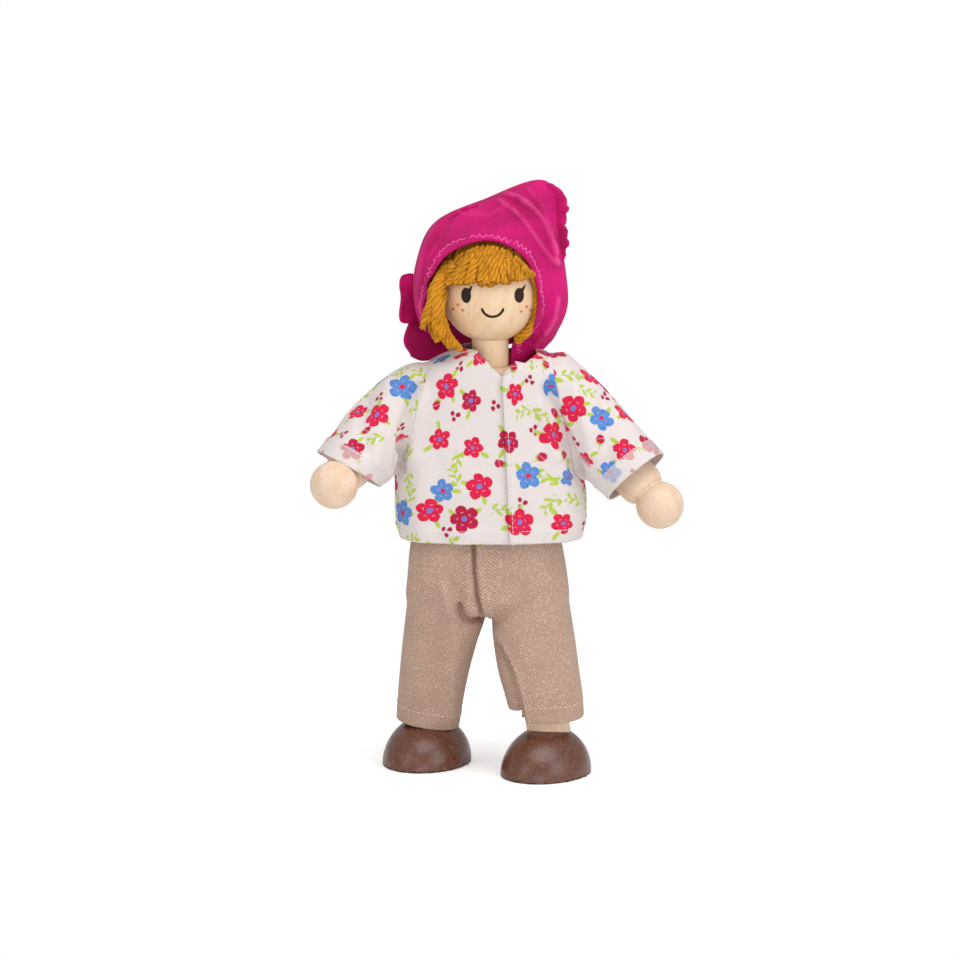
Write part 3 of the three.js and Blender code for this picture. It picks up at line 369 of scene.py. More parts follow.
# Forearms: each is one length of beech dowel, turned at its end to a round shoulder, a wrist and a ball
# for the hand. The tongue that goes into the elbow is cut from the same piece.
ARM_RADIUS = 5.2
WRIST_RADIUS = 3.9
HAND_RADIUS = 5.5
ARM_LENGTH = 20.2
ARM_SHOULDER = 5.05
TONGUE_HALF = 1.5
wrist_above_hand = math.sqrt(HAND_RADIUS ** 2 - WRIST_RADIUS ** 2)
round_start = ARM_LENGTH - wrist_above_hand - 3.6
arm_round = [(WRIST_RADIUS + (ARM_RADIUS - WRIST_RADIUS) * math.cos(a), round_start + 3.2 * math.sin(a))
             for a in np.linspace(0, 0.94, 12) * math.pi / 2]
hand_round = arc_profile(HAND_RADIUS, ARM_LENGTH,
                         -math.degrees(math.asin(wrist_above_hand / HAND_RADIUS)), 90, 40)
arm_profile = [(0, ARM_SHOULDER), (ARM_RADIUS - 0.3, ARM_SHOULDER), (ARM_RADIUS, ARM_SHOULDER + 0.3),
               (ARM_RADIUS, round_start - 4)] + arm_round + hand_round
arms = {
    "right": ((-28.504, 1.077, 78.387), (-37.5, -15.1, 70.3), (0.69504, -0.02734, -0.71845)),
    "left": ((24.190, 0.126, 77.766), (37.3, -7.0, 64.15), (0.73836, 0.07846, 0.66982)),
}
SHANK_FACES = [(0, 1, 3, 2), (4, 6, 7, 5), (0, 4, 5, 1), (2, 3, 7, 6), (0, 2, 6, 4), (1, 5, 7, 3)]


def join(name, pieces):
    """Several mesh objects as one."""
    with bpy.context.temp_override(active_object=pieces[0], selected_editable_objects=pieces):
        bpy.ops.object.join()
    pieces[0].name = name
    return pieces[0]


for side, places in arms.items():
    elbow, hand, pin_axis = [Vector(place) for place in places]
    arm_beech = beech(f"beech_{side}_forearm", hand - elbow)
    dowel = turned(f"{side}_forearm_dowel", arm_profile, elbow, hand, arm_beech)
    plate = turned(f"{side}_tongue", [(0, 0), (4.0, 0), (4.0, 2 * TONGUE_HALF), (0, 2 * TONGUE_HALF)],
                   elbow - pin_axis * TONGUE_HALF, elbow, arm_beech, 48)
    ahead = (hand - elbow).normalized()
    across = ahead.cross(pin_axis).normalized()
    corners = [elbow + pin_axis * a + across * b + ahead * c
               for a in (-TONGUE_HALF, TONGUE_HALF) for b in (-4, 4) for c in (0, ARM_SHOULDER + 0.5)]
    shank = new_mesh(f"{side}_shank", corners, SHANK_FACES, arm_beech)
    forearm = join(f"{side}_forearm_wood", [dowel, plate, shank])
    forearm.data.set_sharp_from_angle(angle=math.radians(35))
    give(forearm, f"{side}_forearm", "beech", f"{side}_forearm_and_hand")

# Shoes: a beech egg turned on the lathe, sawn in half, bored for the shin and dipped in brown satin paint.
# The paint is thin, so the grain stands up a little and breaks the shine into soft patches.
SHOE_HALF_WIDTH = 10.15
SHOE_TOE = 13.2
SHOE_HEEL = 11.4
SHOE_CENTRE_Z = 0.8
SHOE_PITCH = 11
SHOE_EDGE = 0.5
shoes = {"right": ((-16.494, 8.293), -20), "left": ((11.397, -2.976), -26)}

shoe_paint, tree, shader = start_material("brown_satin_paint_on_wood")
place = object_place(tree)
# grain that stands up under the paint, about 0.6 mm apart
grain_place = add_node(tree, "ShaderNodeMapping", {"Vector": place, "Scale": (1700, 600, 1700)})
grain = noise(tree, grain_place.outputs["Vector"], 1.0, 4.0, 0.65)
patches = noise(tree, place, 260.0, 3.0)
# lighter where the grain stands up: partly paint rubbed thin over it, partly a painted highlight
rubbed_and_highlit = grain.ranged(0.5, 0.75, 0, 0.7).paint(patches.paint("#57301f", "#6c3e2d"), "#966a52")
set_inputs(tree, shader, {
    "Base Color": rubbed_and_highlit, "Normal": grain.bump(0.75, 0.00014), "Roughness": patches.ranged(0, 1, 0.2, 0.36),
    "Coat Weight": 0.35, "Coat Roughness": 0.22})

for side, ((x, y), toe_turn) in shoes.items():
    egg = [(max(0.0, SHOE_HALF_WIDTH * math.cos(angle)),
            (SHOE_TOE if angle < 0 else SHOE_HEEL) * math.sin(angle))
           for angle in np.linspace(-math.pi / 2, math.pi / 2, 57)]
    shoe = turned(f"{side}_shoe_painted", egg, (0, 0, 0), (0, 1, 0), shoe_paint, 96)
    shoe.data.transform(
        Matrix.Translation(Vector((x, y, 0)) * MM) @ Matrix.Rotation(math.radians(toe_turn), 4, "Z")
        @ Matrix.Translation((0, 0, SHOE_CENTRE_Z * MM)) @ Matrix.Rotation(math.radians(SHOE_PITCH), 4, "X"))
    with edited(shoe) as work:
        bmesh.ops.remove_doubles(work, verts=work.verts, dist=1e-6)
        bmesh.ops.recalc_face_normals(work, faces=work.faces)
        whole = work.verts[:] + work.edges[:] + work.faces[:]
        cut = bmesh.ops.bisect_plane(
            work, geom=whole, plane_co=(0, 0, 0), plane_no=(0, 0, -1), clear_outer=True)
        bmesh.ops.edgenet_fill(work, edges=[e for e in cut["geom_cut"] if isinstance(e, bmesh.types.BMEdge)])
        rim = [e for e in work.edges if all(abs(v.co.z) < 1e-7 for v in e.verts) and len(e.link_faces) == 2]
        bmesh.ops.bevel(work, geom=rim, offset=SHOE_EDGE * MM, segments=4, affect="EDGES", profile=0.5)
        bmesh.ops.recalc_face_normals(work, faces=work.faces)
    shoe.data.shade_smooth()
    give(shoe, f"{side}_shin", "shoe_paint", f"{side}_shoe")

# Trousers: taupe polyester-cotton twill, cut as two wide legs joined in a seam down front and back, with a
# turned hem on each leg. An elastic in the waist holds them up under the shirt. The left half of the cloth
# hangs in a fold over the inside of its own leg.
TWILL_THICK = 0.5
WEAVE_NET = 0.42
CAMERA_RISE = math.radians(10)
BACK = (0, 1, 0)
LEG_PRINT_RADIUS = 10.0


def smooth_levels(table, steps):
    """A smooth run through the rows of a table of numbers, with this many steps between two rows."""
    rows = np.array(table, float)
    padded = np.vstack([2 * rows[0] - rows[1], rows, 2 * rows[-1] - rows[-2]])
    out = []
    for i in range(len(rows) - 1):
        a, b, c, d = padded[i:i + 4]
        for k in range(steps):
            t = k / steps
            out.append(0.5 * (2 * b + (c - a) * t + (2 * a - 5 * b + 4 * c - d) * t * t
                              + (3 * b - a - 3 * c + d) * t ** 3))
    return np.array(out + [rows[-1]])


def powered_round(power, count):
    """Points of a rounded box outline, one unit to each side."""
    angle = np.linspace(0, 2 * np.pi, count, endpoint=False)
    c, s = np.cos(angle), np.sin(angle)
    return np.sign(c) * np.abs(c) ** (2 / power), np.sign(s) * np.abs(s) ** (2 / power)


def upright_rings(table, steps=8, count=120):
    """Level rings from rows of height, middle, half width, half depth and squareness."""
    rings = []
    for z, middle, half, depth, power in smooth_levels(table, steps):
        c, s = powered_round(power, count)
        rings.append(np.stack([middle + half * c, -depth * s, np.full(count, z)], axis=1))
    return rings


def limb_rings(table, steps=8, count=96):
    """Rings round a limb from rows of its two sides seen from the front, y of the middle and half depth."""
    rows = smooth_levels(table, steps)
    centres = np.stack([(rows[:, 0] + rows[:, 2]) / 2, rows[:, 4], (rows[:, 1] + rows[:, 3]) / 2], axis=1)
    c, s = powered_round(2.2, count)
    rings = []
    for row, centre, forward in zip(rows, centres, np.gradient(centres, axis=0)):
        half = np.array([row[0] - row[2], 0, row[1] - row[3]]) / 2
        deep = np.cross(forward, half)
        rings.append(centre + np.outer(c, half) + np.outer(s, deep * (row[5] / np.linalg.norm(deep))))
    return rings


def one_cloth(name, tubes, net, rounds, material):
    """Closed tubes of rings joined into one even net of cloth, with soft inside corners."""
    points, faces = [], []
    for rings in tubes:
        count, base = len(rings[0]), len(points)
        points += [point for ring in rings for point in ring]
        faces += net_faces(len(rings), count, closed=True, base=base)
        for ring_at, flip in ((0, 1), (len(rings) - 1, -1)):
            middle = len(points)
            points.append(rings[ring_at].mean(axis=0))
            start = base + ring_at * count
            faces += [(middle, start + (i + 1) % count, start + i)[::flip] for i in range(count)]
    obj = new_mesh(name, np.array(points) + SPINE, faces, material)
    with edited(obj) as work:
        bmesh.ops.recalc_face_normals(work, faces=work.faces)
    weave = obj.modifiers.new("even_net", "REMESH")
    weave.mode = "VOXEL"
    weave.voxel_size = net * MM
    soften = obj.modifiers.new("soft_corners", "SMOOTH")
    soften.factor = 0.5
    soften.iterations = rounds
    return settle(obj)


def settle(obj):
    """The object with its modifiers made into plain mesh."""
    graph = bpy.context.evaluated_depsgraph_get()
    mesh = bpy.data.meshes.new_from_object(obj.evaluated_get(graph))
    obj.modifiers.clear()
    obj.data = mesh
    mesh.shade_smooth()
    return obj


def cloth_points(obj):
    """The places and outward normals of a cloth's points, in mm from the spine's foot."""
    count = len(obj.data.vertices)
    places, normals = np.empty(count * 3), np.empty(count * 3)
    obj.data.vertices.foreach_get("co", places)
    obj.data.vertex_normals.foreach_get("vector", normals)
    return places.reshape(-1, 3) / MM - SPINE, normals.reshape(-1, 3)


def put_points(obj, places):
    obj.data.vertices.foreach_set("co", ((places + SPINE) * MM).ravel())
    obj.data.update()


def smooth_rise(values, low, high):
    """0 below low and 1 above high with a soft change between."""
    t = np.clip((values - low) / (high - low), 0, 1)
    return t * t * (3 - 2 * t)


def picture_place(places):
    """Where points are in the front view: across from the middle of the picture's frame, and up."""
    return np.stack([places[:, 0] + SPINE[0],
                     places[:, 1] * math.sin(CAMERA_RISE) + places[:, 2] * math.cos(CAMERA_RISE)], axis=1)


def distance_to_line(spots, line):
    """Distance from flat points to a line of points, signed: positive on its left."""
    best = np.full(len(spots), 1e9)
    side = np.ones(len(spots))
    for a, b in zip(np.array(line[:-1], float), np.array(line[1:], float)):
        run = b - a
        t = np.clip(((spots - a) @ run) / (run @ run), 0, 1)
        away = spots - (a + t[:, None] * run)
        size = np.linalg.norm(away, axis=1)
        nearer = size < best
        best[nearer] = size[nearer]
        side[nearer] = np.sign(run[0] * away[nearer, 1] - run[1] * away[nearer, 0])
    return best * side


def press_folds(obj, folds, facing=-1):
    """Lifts or sinks the cloth along lines drawn in the front view; facing 1 presses the back instead.

    A fold is (line, width, height): a round ridge, or a valley when the height is negative. With a fourth
    number it is a lap: the cloth at the line's left stands up by the height and falls away over that reach.
    """
    places, normals = cloth_points(obj)
    spots = picture_place(places)
    lift = np.zeros(len(places))
    for line, width, height, *reach in folds:
        near = distance_to_line(spots, line)
        if reach:
            lift += height * smooth_rise(near, -width, width) * np.exp(-(np.maximum(near, 0) / reach[0]) ** 2)
        else:
            lift += height * np.exp(-(near / width) ** 2)
    lift *= smooth_rise(normals[:, 1] * facing, 0.0, 0.35)
    put_points(obj, places + normals * lift[:, None])
    return lift


def cut_off(obj, *planes):
    """Cuts away the cloth that is on the outer side of every plane; a plane is a point and a normal."""
    flat = [(Vector(at(p)), Vector(n).normalized()) for p, n in planes]

    def depth(face, p, n):
        return (face.calc_center_median() - p).dot(n)

    with edited(obj) as work:
        for k, (p, n) in enumerate(flat):
            others = flat[:k] + flat[k + 1:]
            near = [f for f in work.faces
                    if all(depth(f, *plane) > -3 * MM for plane in others) and abs(depth(f, p, n)) < 2 * MM]
            parts = set(near)
            for face in near:
                parts.update(face.verts)
                parts.update(face.edges)
            bmesh.ops.bisect_plane(work, geom=list(parts), dist=1e-7, plane_co=p, plane_no=n)
        gone = [f for f in work.faces if all(depth(f, *plane) > 0 for plane in flat)]
        bmesh.ops.delete(work, geom=gone, context="FACES")


def at(place):
    """A place in mm from the spine's foot as a place in the frame."""
    return tuple((np.array(place) + SPINE) * MM)


def divide(obj, point, normal, names, closed=False):
    """Splits a cloth along a plane into two objects: the first behind the plane, the second before it.

    Where the cloth has its thickness already, it is closed, and the cut is closed too.
    """
    halves = []
    for name, sign in zip(names, (1, -1)):
        part = obj.copy()
        part.data = obj.data.copy()
        part.name = name
        bpy.context.scene.collection.objects.link(part)
        with edited(part) as work:
            plane_normal = Vector(normal).normalized() * sign
            cut = bmesh.ops.bisect_plane(work, geom=work.verts[:] + work.edges[:] + work.faces[:], dist=1e-8,
                                         plane_co=at(point), plane_no=plane_normal, clear_outer=True)
            rim = [e for e in cut["geom_cut"] if isinstance(e, bmesh.types.BMEdge)]
            if closed and rim:
                for edge in rim:
                    edge.smooth = False
                bmesh.ops.triangle_fill(work, edges=rim, normal=plane_normal)
            bmesh.ops.delete(work, geom=[v for v in work.verts if not v.link_faces], context="VERTS")
        halves.append(part)
    bpy.data.objects.remove(obj)
    return halves


def lay_print(obj, place_of, *about):
    """A UV map in mm of the flat cloth: place_of gives around and along; a face never spans the wrap."""
    mesh = obj.data
    around, along, turn = place_of(cloth_points(obj)[0], *about)
    loop_vertex = np.empty(len(mesh.loops), int)
    mesh.loops.foreach_get("vertex_index", loop_vertex)
    starts, totals = np.empty((2, len(mesh.polygons)), int)
    mesh.polygons.foreach_get("loop_start", starts)
    mesh.polygons.foreach_get("loop_total", totals)
    u, v = around[loop_vertex], along[loop_vertex]
    first = np.repeat(u[starts], totals)
    u = u - turn * np.round((u - first) / turn)
    lay_flat(obj, np.stack([u, v], axis=1))


def lay_flat(obj, corners):
    obj.data.uv_layers.new(name="cloth_mm").data.foreach_set("uv", corners.astype(np.float32).ravel())


def thicken(obj, thickness):
    """Gives cloth its thickness, inwards from the outside face."""
    body = obj.modifiers.new("cloth_thickness", "SOLIDIFY")
    body.thickness = thickness * MM
    body.offset = -1
    body.use_even_offset = False
    return settle(obj)


def line_tree(name, step, *sockets):
    """A node tree that walks lines in even steps: the tree, its inputs, and the lines as curves."""
    tree = bpy.data.node_groups.new(name, "GeometryNodeTree")
    for label, kind in (("Geometry", "Geometry"), *sockets):
        tree.interface.new_socket(label, in_out="INPUT", socket_type=f"NodeSocket{kind}")
    tree.interface.new_socket("Geometry", in_out="OUTPUT", socket_type="NodeSocketGeometry")
    given = add_node(tree, "NodeGroupInput").outputs
    lines = add_node(tree, "GeometryNodeMeshToCurve", {"Mesh": given["Geometry"]})
    even = add_node(tree, "GeometryNodeResampleCurve", {
        "Curve": lines.outputs["Curve"], "Length": given[step]}, mode="LENGTH")
    return tree, given, even.outputs["Curve"]


def end_tree(tree, last, material):
    """Gives the last node's geometry its material and hands it out."""
    dyed = add_node(tree, "GeometryNodeSetMaterial", {
        "Geometry": last.outputs["Geometry"], "Material": material})
    add_node(tree, "NodeGroupOutput", {"Geometry": dyed.outputs["Geometry"]})
    return tree


def stitch_tree():
    """Lines become running stitches: at every pitch one short round thread lies along the line."""
    tree, given, even = line_tree("running_stitch", "Pitch", ("Pitch", "Float"), ("Stitch Length", "Float"),
                                  ("Thread Radius", "Float"), ("Thread", "Material"))
    tangent = add_node(tree, "GeometryNodeInputTangent").outputs["Tangent"]
    along = add_node(tree, "FunctionNodeAlignRotationToVector", {"Vector": tangent}, axis="Z")
    size = add_node(tree, "ShaderNodeCombineXYZ", {
        "X": given["Thread Radius"], "Y": given["Thread Radius"], "Z": Sum(tree, given["Stitch Length"]) * 0.5})
    thread = add_node(tree, "GeometryNodeMeshUVSphere", {"Segments": 6, "Rings": 5, "Radius": 1.0})
    laid = add_node(tree, "GeometryNodeInstanceOnPoints", {
        "Points": even, "Instance": thread.outputs["Mesh"],
        "Rotation": along.outputs["Rotation"], "Scale": size.outputs["Vector"]})
    real = add_node(tree, "GeometryNodeRealizeInstances", {"Geometry": laid.outputs["Instances"]})
    smooth = add_node(tree, "GeometryNodeSetShadeSmooth", {"Geometry": real.outputs["Geometry"]})
    return end_tree(tree, smooth, given["Thread"])


def grown(name, lines, tree, values):
    """A mesh grown by a node tree along lines of points, in mm from the spine's foot."""
    points, edges = [], []
    for line in lines:
        edges += [(len(points) + i, len(points) + i + 1) for i in range(len(line) - 1)]
        points += [at(p) for p in line]
    mesh = bpy.data.meshes.new(name)
    mesh.from_pydata(points, edges, [])
    obj = new_object(name, mesh)
    grower = obj.modifiers.new("grown", "NODES")
    grower.node_group = tree
    for socket in tree.interface.items_tree:
        if socket.in_out == "INPUT" and socket.name in values:
            grower[socket.identifier] = values[socket.name]
    return settle(obj)


def surface_tree(obj):
    work = bmesh.new()
    work.from_mesh(obj.data)
    made = BVHTree.FromBMesh(work)
    work.free()
    return made


def line_round(tree, centre, normal, rise=0.06, count=200):
    """The closed line where a plane across a tube of cloth meets its outside, a little proud of it."""
    middle, normal = Vector(at(centre)), Vector(normal).normalized()
    first = normal.orthogonal().normalized()
    second = normal.cross(first)
    line = []
    for i in range(count + 1):
        angle = 2 * math.pi * i / count
        way = first * math.cos(angle) + second * math.sin(angle)
        hit = tree.ray_cast(middle, way)[0]
        if hit is not None:
            line.append(np.array(hit + way * rise * MM) / MM - SPINE)
    return line


def sewing_thread(name, colour):
    """Polyester sewing thread: one colour, twisted, with a slight shine on the top of each stitch."""
    made, tree, shader = start_material(name)
    tone = add_node(tree, "ShaderNodeMixRGB", {
        "Fac": noise(tree, object_place(tree), 6000.0, 1.0), "Color1": linear(colour), "Color2": (1, 1, 1, 1)},
        blend_type="SOFT_LIGHT")
    set_inputs(tree, shader, {"Base Color": tone.outputs["Color"], "Roughness": 0.55})
    return made


def vector(tree, kind, *values, output="Vector", **named):
    """The result of a sum of vectors."""
    made = add_node(tree, "ShaderNodeVectorMath", {**dict(enumerate(values)), **named}, operation=kind)
    return made.outputs[output]


def length(tree, kind, *values):
    """A number worked out from vectors."""
    return Sum(tree, vector(tree, kind, *values, output="Value"))


def cloth_place(tree):
    return add_node(tree, "ShaderNodeUVMap", uv_map="cloth_mm").outputs["UV"]


def twill_cloth():
    """Twill: fine diagonal ribs 0.54 mm apart, lighter on their crests and darker in their grooves, partly the light
    and dark yarn and partly painted highlight and shade; light flecks, partly painted thread highlights; a dry cloth
    with a soft edge light.
    """
    made, tree, shader = start_material("taupe_twill")
    place = cloth_place(tree)
    # the yarns wander by a few tenths of a millimetre
    wander = noise(tree, place, 0.9, 2.0, output="Color")
    wavy = vector(tree, "ADD", place, vector(tree, "SCALE", wander, Scale=0.45))
    # ribs: a wave across the diagonal, broken along it where the yarns cross
    rib = (length(tree, "DOT_PRODUCT", wavy, (-0.79, 0.61, 0)) * (2 * math.pi / 0.54)).work("SINE")
    cross = (length(tree, "DOT_PRODUCT", wavy, (0.85, 0.53, 0)) * (2 * math.pi / 0.5)).work("SINE")
    height = cross.work("MULTIPLY_ADD", 0.65, rib).ranged(-1.45, 1.45)
    light_yarn_and_highlight = noise(tree, place, 1.7, 3.0).ranged(0.5, 0.7, 0, 0.6)
    clouds = noise(tree, place, 0.16, 2.0).ranged(0.35, 0.7, 0, 0.25)
    # the ribs' crests are lighter and their grooves darker: partly the yarns' colours, partly painted highlight and
    # shade; the light flecks are partly lighter yarn, partly painted thread highlights
    flecked = light_yarn_and_highlight.paint(height.paint("#9b7c6b", "#d1b19d"), "#e4cbb8")
    set_inputs(tree, shader, {
        "Base Color": clouds.paint(flecked, "#97796a"), "Normal": height.bump(0.55), "Roughness": 0.9,
        "Specular IOR Level": 0.2, "Sheen Weight": 0.15, "Sheen Roughness": 0.5})
    return made


twill = twill_cloth()
seat = upright_rings([
    (66.5, 0, 13.4, 10.2, 4.6), (61.5, -0.2, 14.9, 10.4, 4.2), (55, -0.9, 17.3, 10.4, 3.2),
    (46, -0.6, 18.6, 10.8, 3.0), (40, -0.6, 18.8, 9.6, 2.4), (37.2, -0.6, 15.5, 7.0, 2.0)])
right_leg = limb_rings([
    (-18.6, 47, -2.6, 47, 0, 8.6), (-19.4, 38.9, -0.6, 38.9, 1.0, 9.0), (-20.3, 31, -2.9, 30.4, 3.0, 8.8),
    (-21.1, 23, -4.8, 22.8, 5.0, 8.4), (-21.7, 15.9, -6.2, 15.4, 7.0, 8.1), (-22.2, 8.0, -7.6, 6.2, 9.0, 7.9)])
left_leg = limb_rings([
    (17.6, 47, 1.6, 47, 0, 8.8), (18.6, 38.9, 0.5, 38.9, -0.8, 9.4), (19.8, 31.5, 0.7, 31.5, -2.0, 9.5),
    (20.8, 24, 1.9, 23.4, -2.4, 9.2), (21.6, 18.5, 3.6, 17.2, -2.2, 8.8), (22.1, 11, 5.6, 9.4, -1.4, 8.4)])
trousers = one_cloth("trousers", [seat, right_leg, left_leg], WEAVE_NET, 18, twill)
press_folds(trousers, [
    ([(-5.7, 56), (-5.4, 45.8), (-4.7, 39.9), (-4.1, 37.4), (-3.1, 35.4)], 0.46, -2.5),
    ([(-5.5, 56), (-5.2, 45.8), (-4.5, 39.9), (-3.9, 37.4), (-2.9, 35.4)], 0.4, 0.6, 2.2),
    ([(-6.8, 50), (-6.6, 43), (-6.4, 38.5)], 1.3, 0.7),
    ([(-10.4, 43.4), (-9.2, 40.6), (-8.7, 37.4)], 1.2, -0.8),
    ([(-8.9, 38.2), (-8.4, 36.6), (-7.4, 35.3), (-5.7, 34.7), (-3.0, 35.3)], 0.6, -1.7),
    ([(-7.6, 38.2), (-6.4, 37.1), (-4.2, 37.0)], 1.0, 0.7),
    ([(-12.8, 43.0), (-11.6, 39.8), (-10.8, 36.6)], 1.1, 0.7),
    ([(-12.6, 41.5), (-10.6, 36.5), (-10.0, 30), (-11.0, 12)], 2.0, 1.0),
    ([(-16.0, 40), (-15.5, 28), (-16.5, 14)], 2.6, -0.4),
    ([(-1.0, 34.5), (2.5, 37.0), (7.0, 38.0)], 1.2, -0.5),
    ([(13.0, 13), (12.5, 22), (10.5, 32)], 2.4, -0.35),
    ([(17.0, 50), (17.5, 40), (18.6, 28)], 2.2, -0.35),
    ([(2.5, 52), (6.5, 47), (12.5, 45)], 1.6, -0.3),
])
press_folds(trousers, [
    ([(-2.4, 60), (-2.4, 46), (-2.4, 39)], 0.8, -1.1),
    ([(-6.0, 44), (-10.0, 37), (-12.5, 33)], 1.6, 0.7),
    ([(1.5, 44), (5.5, 38), (9.5, 34)], 1.6, 0.7),
    ([(-14, 29), (-9, 27), (-5, 28.5)], 1.4, -0.6),
    ([(13, 30), (9, 28), (5, 29.5)], 1.4, -0.6),
], facing=1)
# the left leg's front laps over the inside of the leg, which lies deeper
LAP_LINE = [(-2.6, 31.6), (-0.9, 30.0), (0.2, 28.6), (1.8, 26.0),
            (3.3, 22.2), (4.6, 17.6), (5.3, 14.6), (6.0, 11.0)]
LAP_DEPTH = 2.6
SEAM_X = -0.6
places, normals = cloth_points(trousers)
spots = picture_place(places)
near = distance_to_line(spots, LAP_LINE)
deeper = smooth_rise(-near, -0.1, 0.3) * smooth_rise(-normals[:, 1], -0.25, 0.15)
deeper *= (1 - smooth_rise(spots[:, 1], 27.0, 33.0)) * (spots[:, 0] > -4) * (places[:, 0] > SEAM_X)
roll = 0.7 * np.exp(-((near - 0.7) / 0.8) ** 2) * smooth_rise(-normals[:, 1], 0, 0.3) * (places[:, 0] > SEAM_X)
roll *= (1 - smooth_rise(spots[:, 1], 27.0, 32.0)) * (near > 0)
places[:, 1] += LAP_DEPTH * deeper - roll
put_points(trousers, places)
press_folds(trousers, [(LAP_LINE[1:], 0.42, -1.5)])
# the hems: the right one dips to the inside, the left one shows the back of the leg higher than the front
HEMS = {"right": ((-14.6, 8.0, 9.6), (-0.148, 0.04, -1)), "left": ((13.4, -9.0, 13.0), (0.0, 0.095, -1))}
cut_off(trousers, HEMS["right"], ((SEAM_X, 0, 0), (-1, 0, 0)))
cut_off(trousers, HEMS["left"], ((SEAM_X, 0, 0), (1, 0, 0)))
cut_off(trousers, ((6.0, 0, 14.9), (0.2, 0, -1)), ((7.4, 0, 0), (-1, 0, 0)), ((SEAM_X, 0, 0), (1, 0, 0)))
cut_off(trousers, ((0, 0, 63.6), (0, 0, 1)))
trouser_tree = surface_tree(trousers)
running_stitch = stitch_tree()
taupe_thread = sewing_thread("taupe_thread", "#d3b9a7")
for side, centre in (("right", (-14.6, 8.2, 13.4)), ("left", (13.2, -1.2, 17.6))):
    line = line_round(trouser_tree, centre, HEMS[side][1])
    hem_stitches = grown(f"{side}_trouser_hem_stitches", [line], running_stitch, {
        "Pitch": 0.00115, "Stitch Length": 0.00095, "Thread Radius": 0.0001, "Thread": taupe_thread})
    give(hem_stitches, f"{side}_shin", "twill")


def limb_places(points, top, foot):
    """How far points lie along a limb, to its inside or outside, and to its back."""
    top, foot = np.array(top, float), np.array(foot, float)
    axis = (foot - top) / np.linalg.norm(foot - top)
    out = np.cross(axis, BACK)
    out /= np.linalg.norm(out)
    return [(points - top) @ way for way in (axis, out, np.cross(out, axis))]


def leg_print(points, side):
    """Around and along the leg that the cloth was cut for, so that the ribs run down each half as cut."""
    top, foot, sign = {"right": ((-9.5, 0, 50), (-13.8, 8, 11), 1),
                       "left": ((8.6, 0, 50), (13.0, -1.5, 11), -1)}[side]
    along, out, back = limb_places(points, top, foot)
    return np.arctan2(back, out) * LEG_PRINT_RADIUS * sign, -along, 2 * np.pi * LEG_PRINT_RADIUS


KNEE_TOP, KNEE_FOOT = 27.0, 19.0
LEG_FLAT = {"right": ((0.055, 0.042), (0.052, 0.020)), "left": ((0.055, 0.042), (0.054, 0.017))}
LEG_AREA = {"right": (0.00203, 0.00093), "left": (0.00197, 0.00081)}
halves = divide(trousers, (SEAM_X, 0, 40), (1, 0, 0), ["right_trousers", "left_trousers"])
for side, half_cloth in zip(SIDES, halves):
    lay_print(half_cloth, leg_print, side)
    thicken(half_cloth, TWILL_THICK)
    upper, lower = divide(half_cloth, (0, 0, KNEE_TOP), (0, 0, -1),
                          [f"{side}_trousers_upper", f"{side}_trousers_lower"], closed=True)
    way = np.array([0.84 if side == "right" else -0.84, 0, 0.543])
    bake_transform(upper)
    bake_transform(lower)
    for piece, flat, area in zip((upper, lower), LEG_FLAT[side], LEG_AREA[side]):
        give(piece, None, "twill", "trousers_seat", f"{side}_trouser_leg")

# Waist elastic: a flat band of rubber threads covered in polyester, sewn into the waist of the trousers under
# the shirt. Its covered threads run round it and stand up as fine ribs.
BAND_ROWS, BAND_ROUND, BAND_RIBS = 25, 144, 6
low, high = [np.array(v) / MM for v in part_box("waist_elastic")]
middle, half = (low + high) / 2, (high - low) / 2
covered_rubber, tree, shader = start_material("covered_rubber_elastic")
cover = noise(tree, object_place(tree), 2500.0, 2.0).paint("#dcd8d2", "#f4f1ec")
set_inputs(tree, shader, {"Base Color": cover, "Roughness": 0.8})
band = []
for t in np.linspace(0, 1, BAND_ROWS):
    out = half[:2] - 0.12 + 0.09 * math.cos(2 * math.pi * BAND_RIBS * t)
    band += [middle + np.array([x * out[0], y * out[1], (2 * t - 1) * half[2] * 0.98])
             for x, y in zip(*powered_round(4.4, BAND_ROUND))]
elastic = new_mesh("waist_elastic_band", band, net_faces(BAND_ROWS, BAND_ROUND, closed=True), covered_rubber)
thicken(elastic, 0.7)
give(elastic, "torso", "elastic", "waist_elastic")

# Shirt: white cotton lawn printed with small flowers, with set-in sleeves, narrow hems stitched in white, and
# a front that opens all the way down. The left front laps over the right one.
LAWN_THICK = 0.4
CUFF_HEM = 4.2
BODY_HALF = np.array([20.3, 11.5])
BODY_POWER = 2.7
BLOOM_PITCH, SPRIG_PITCH = 9.6, 5.3
LEAF_GREEN, STEM_GREEN, LAWN_WHITE = "#b3c94a", "#a9b93f", "#e0d6d3"


def told(tree, name):
    """What was laid on the cloth's points under this name."""
    return Sum(tree, add_node(tree, "ShaderNodeAttribute", attribute_name=name).outputs["Fac"])


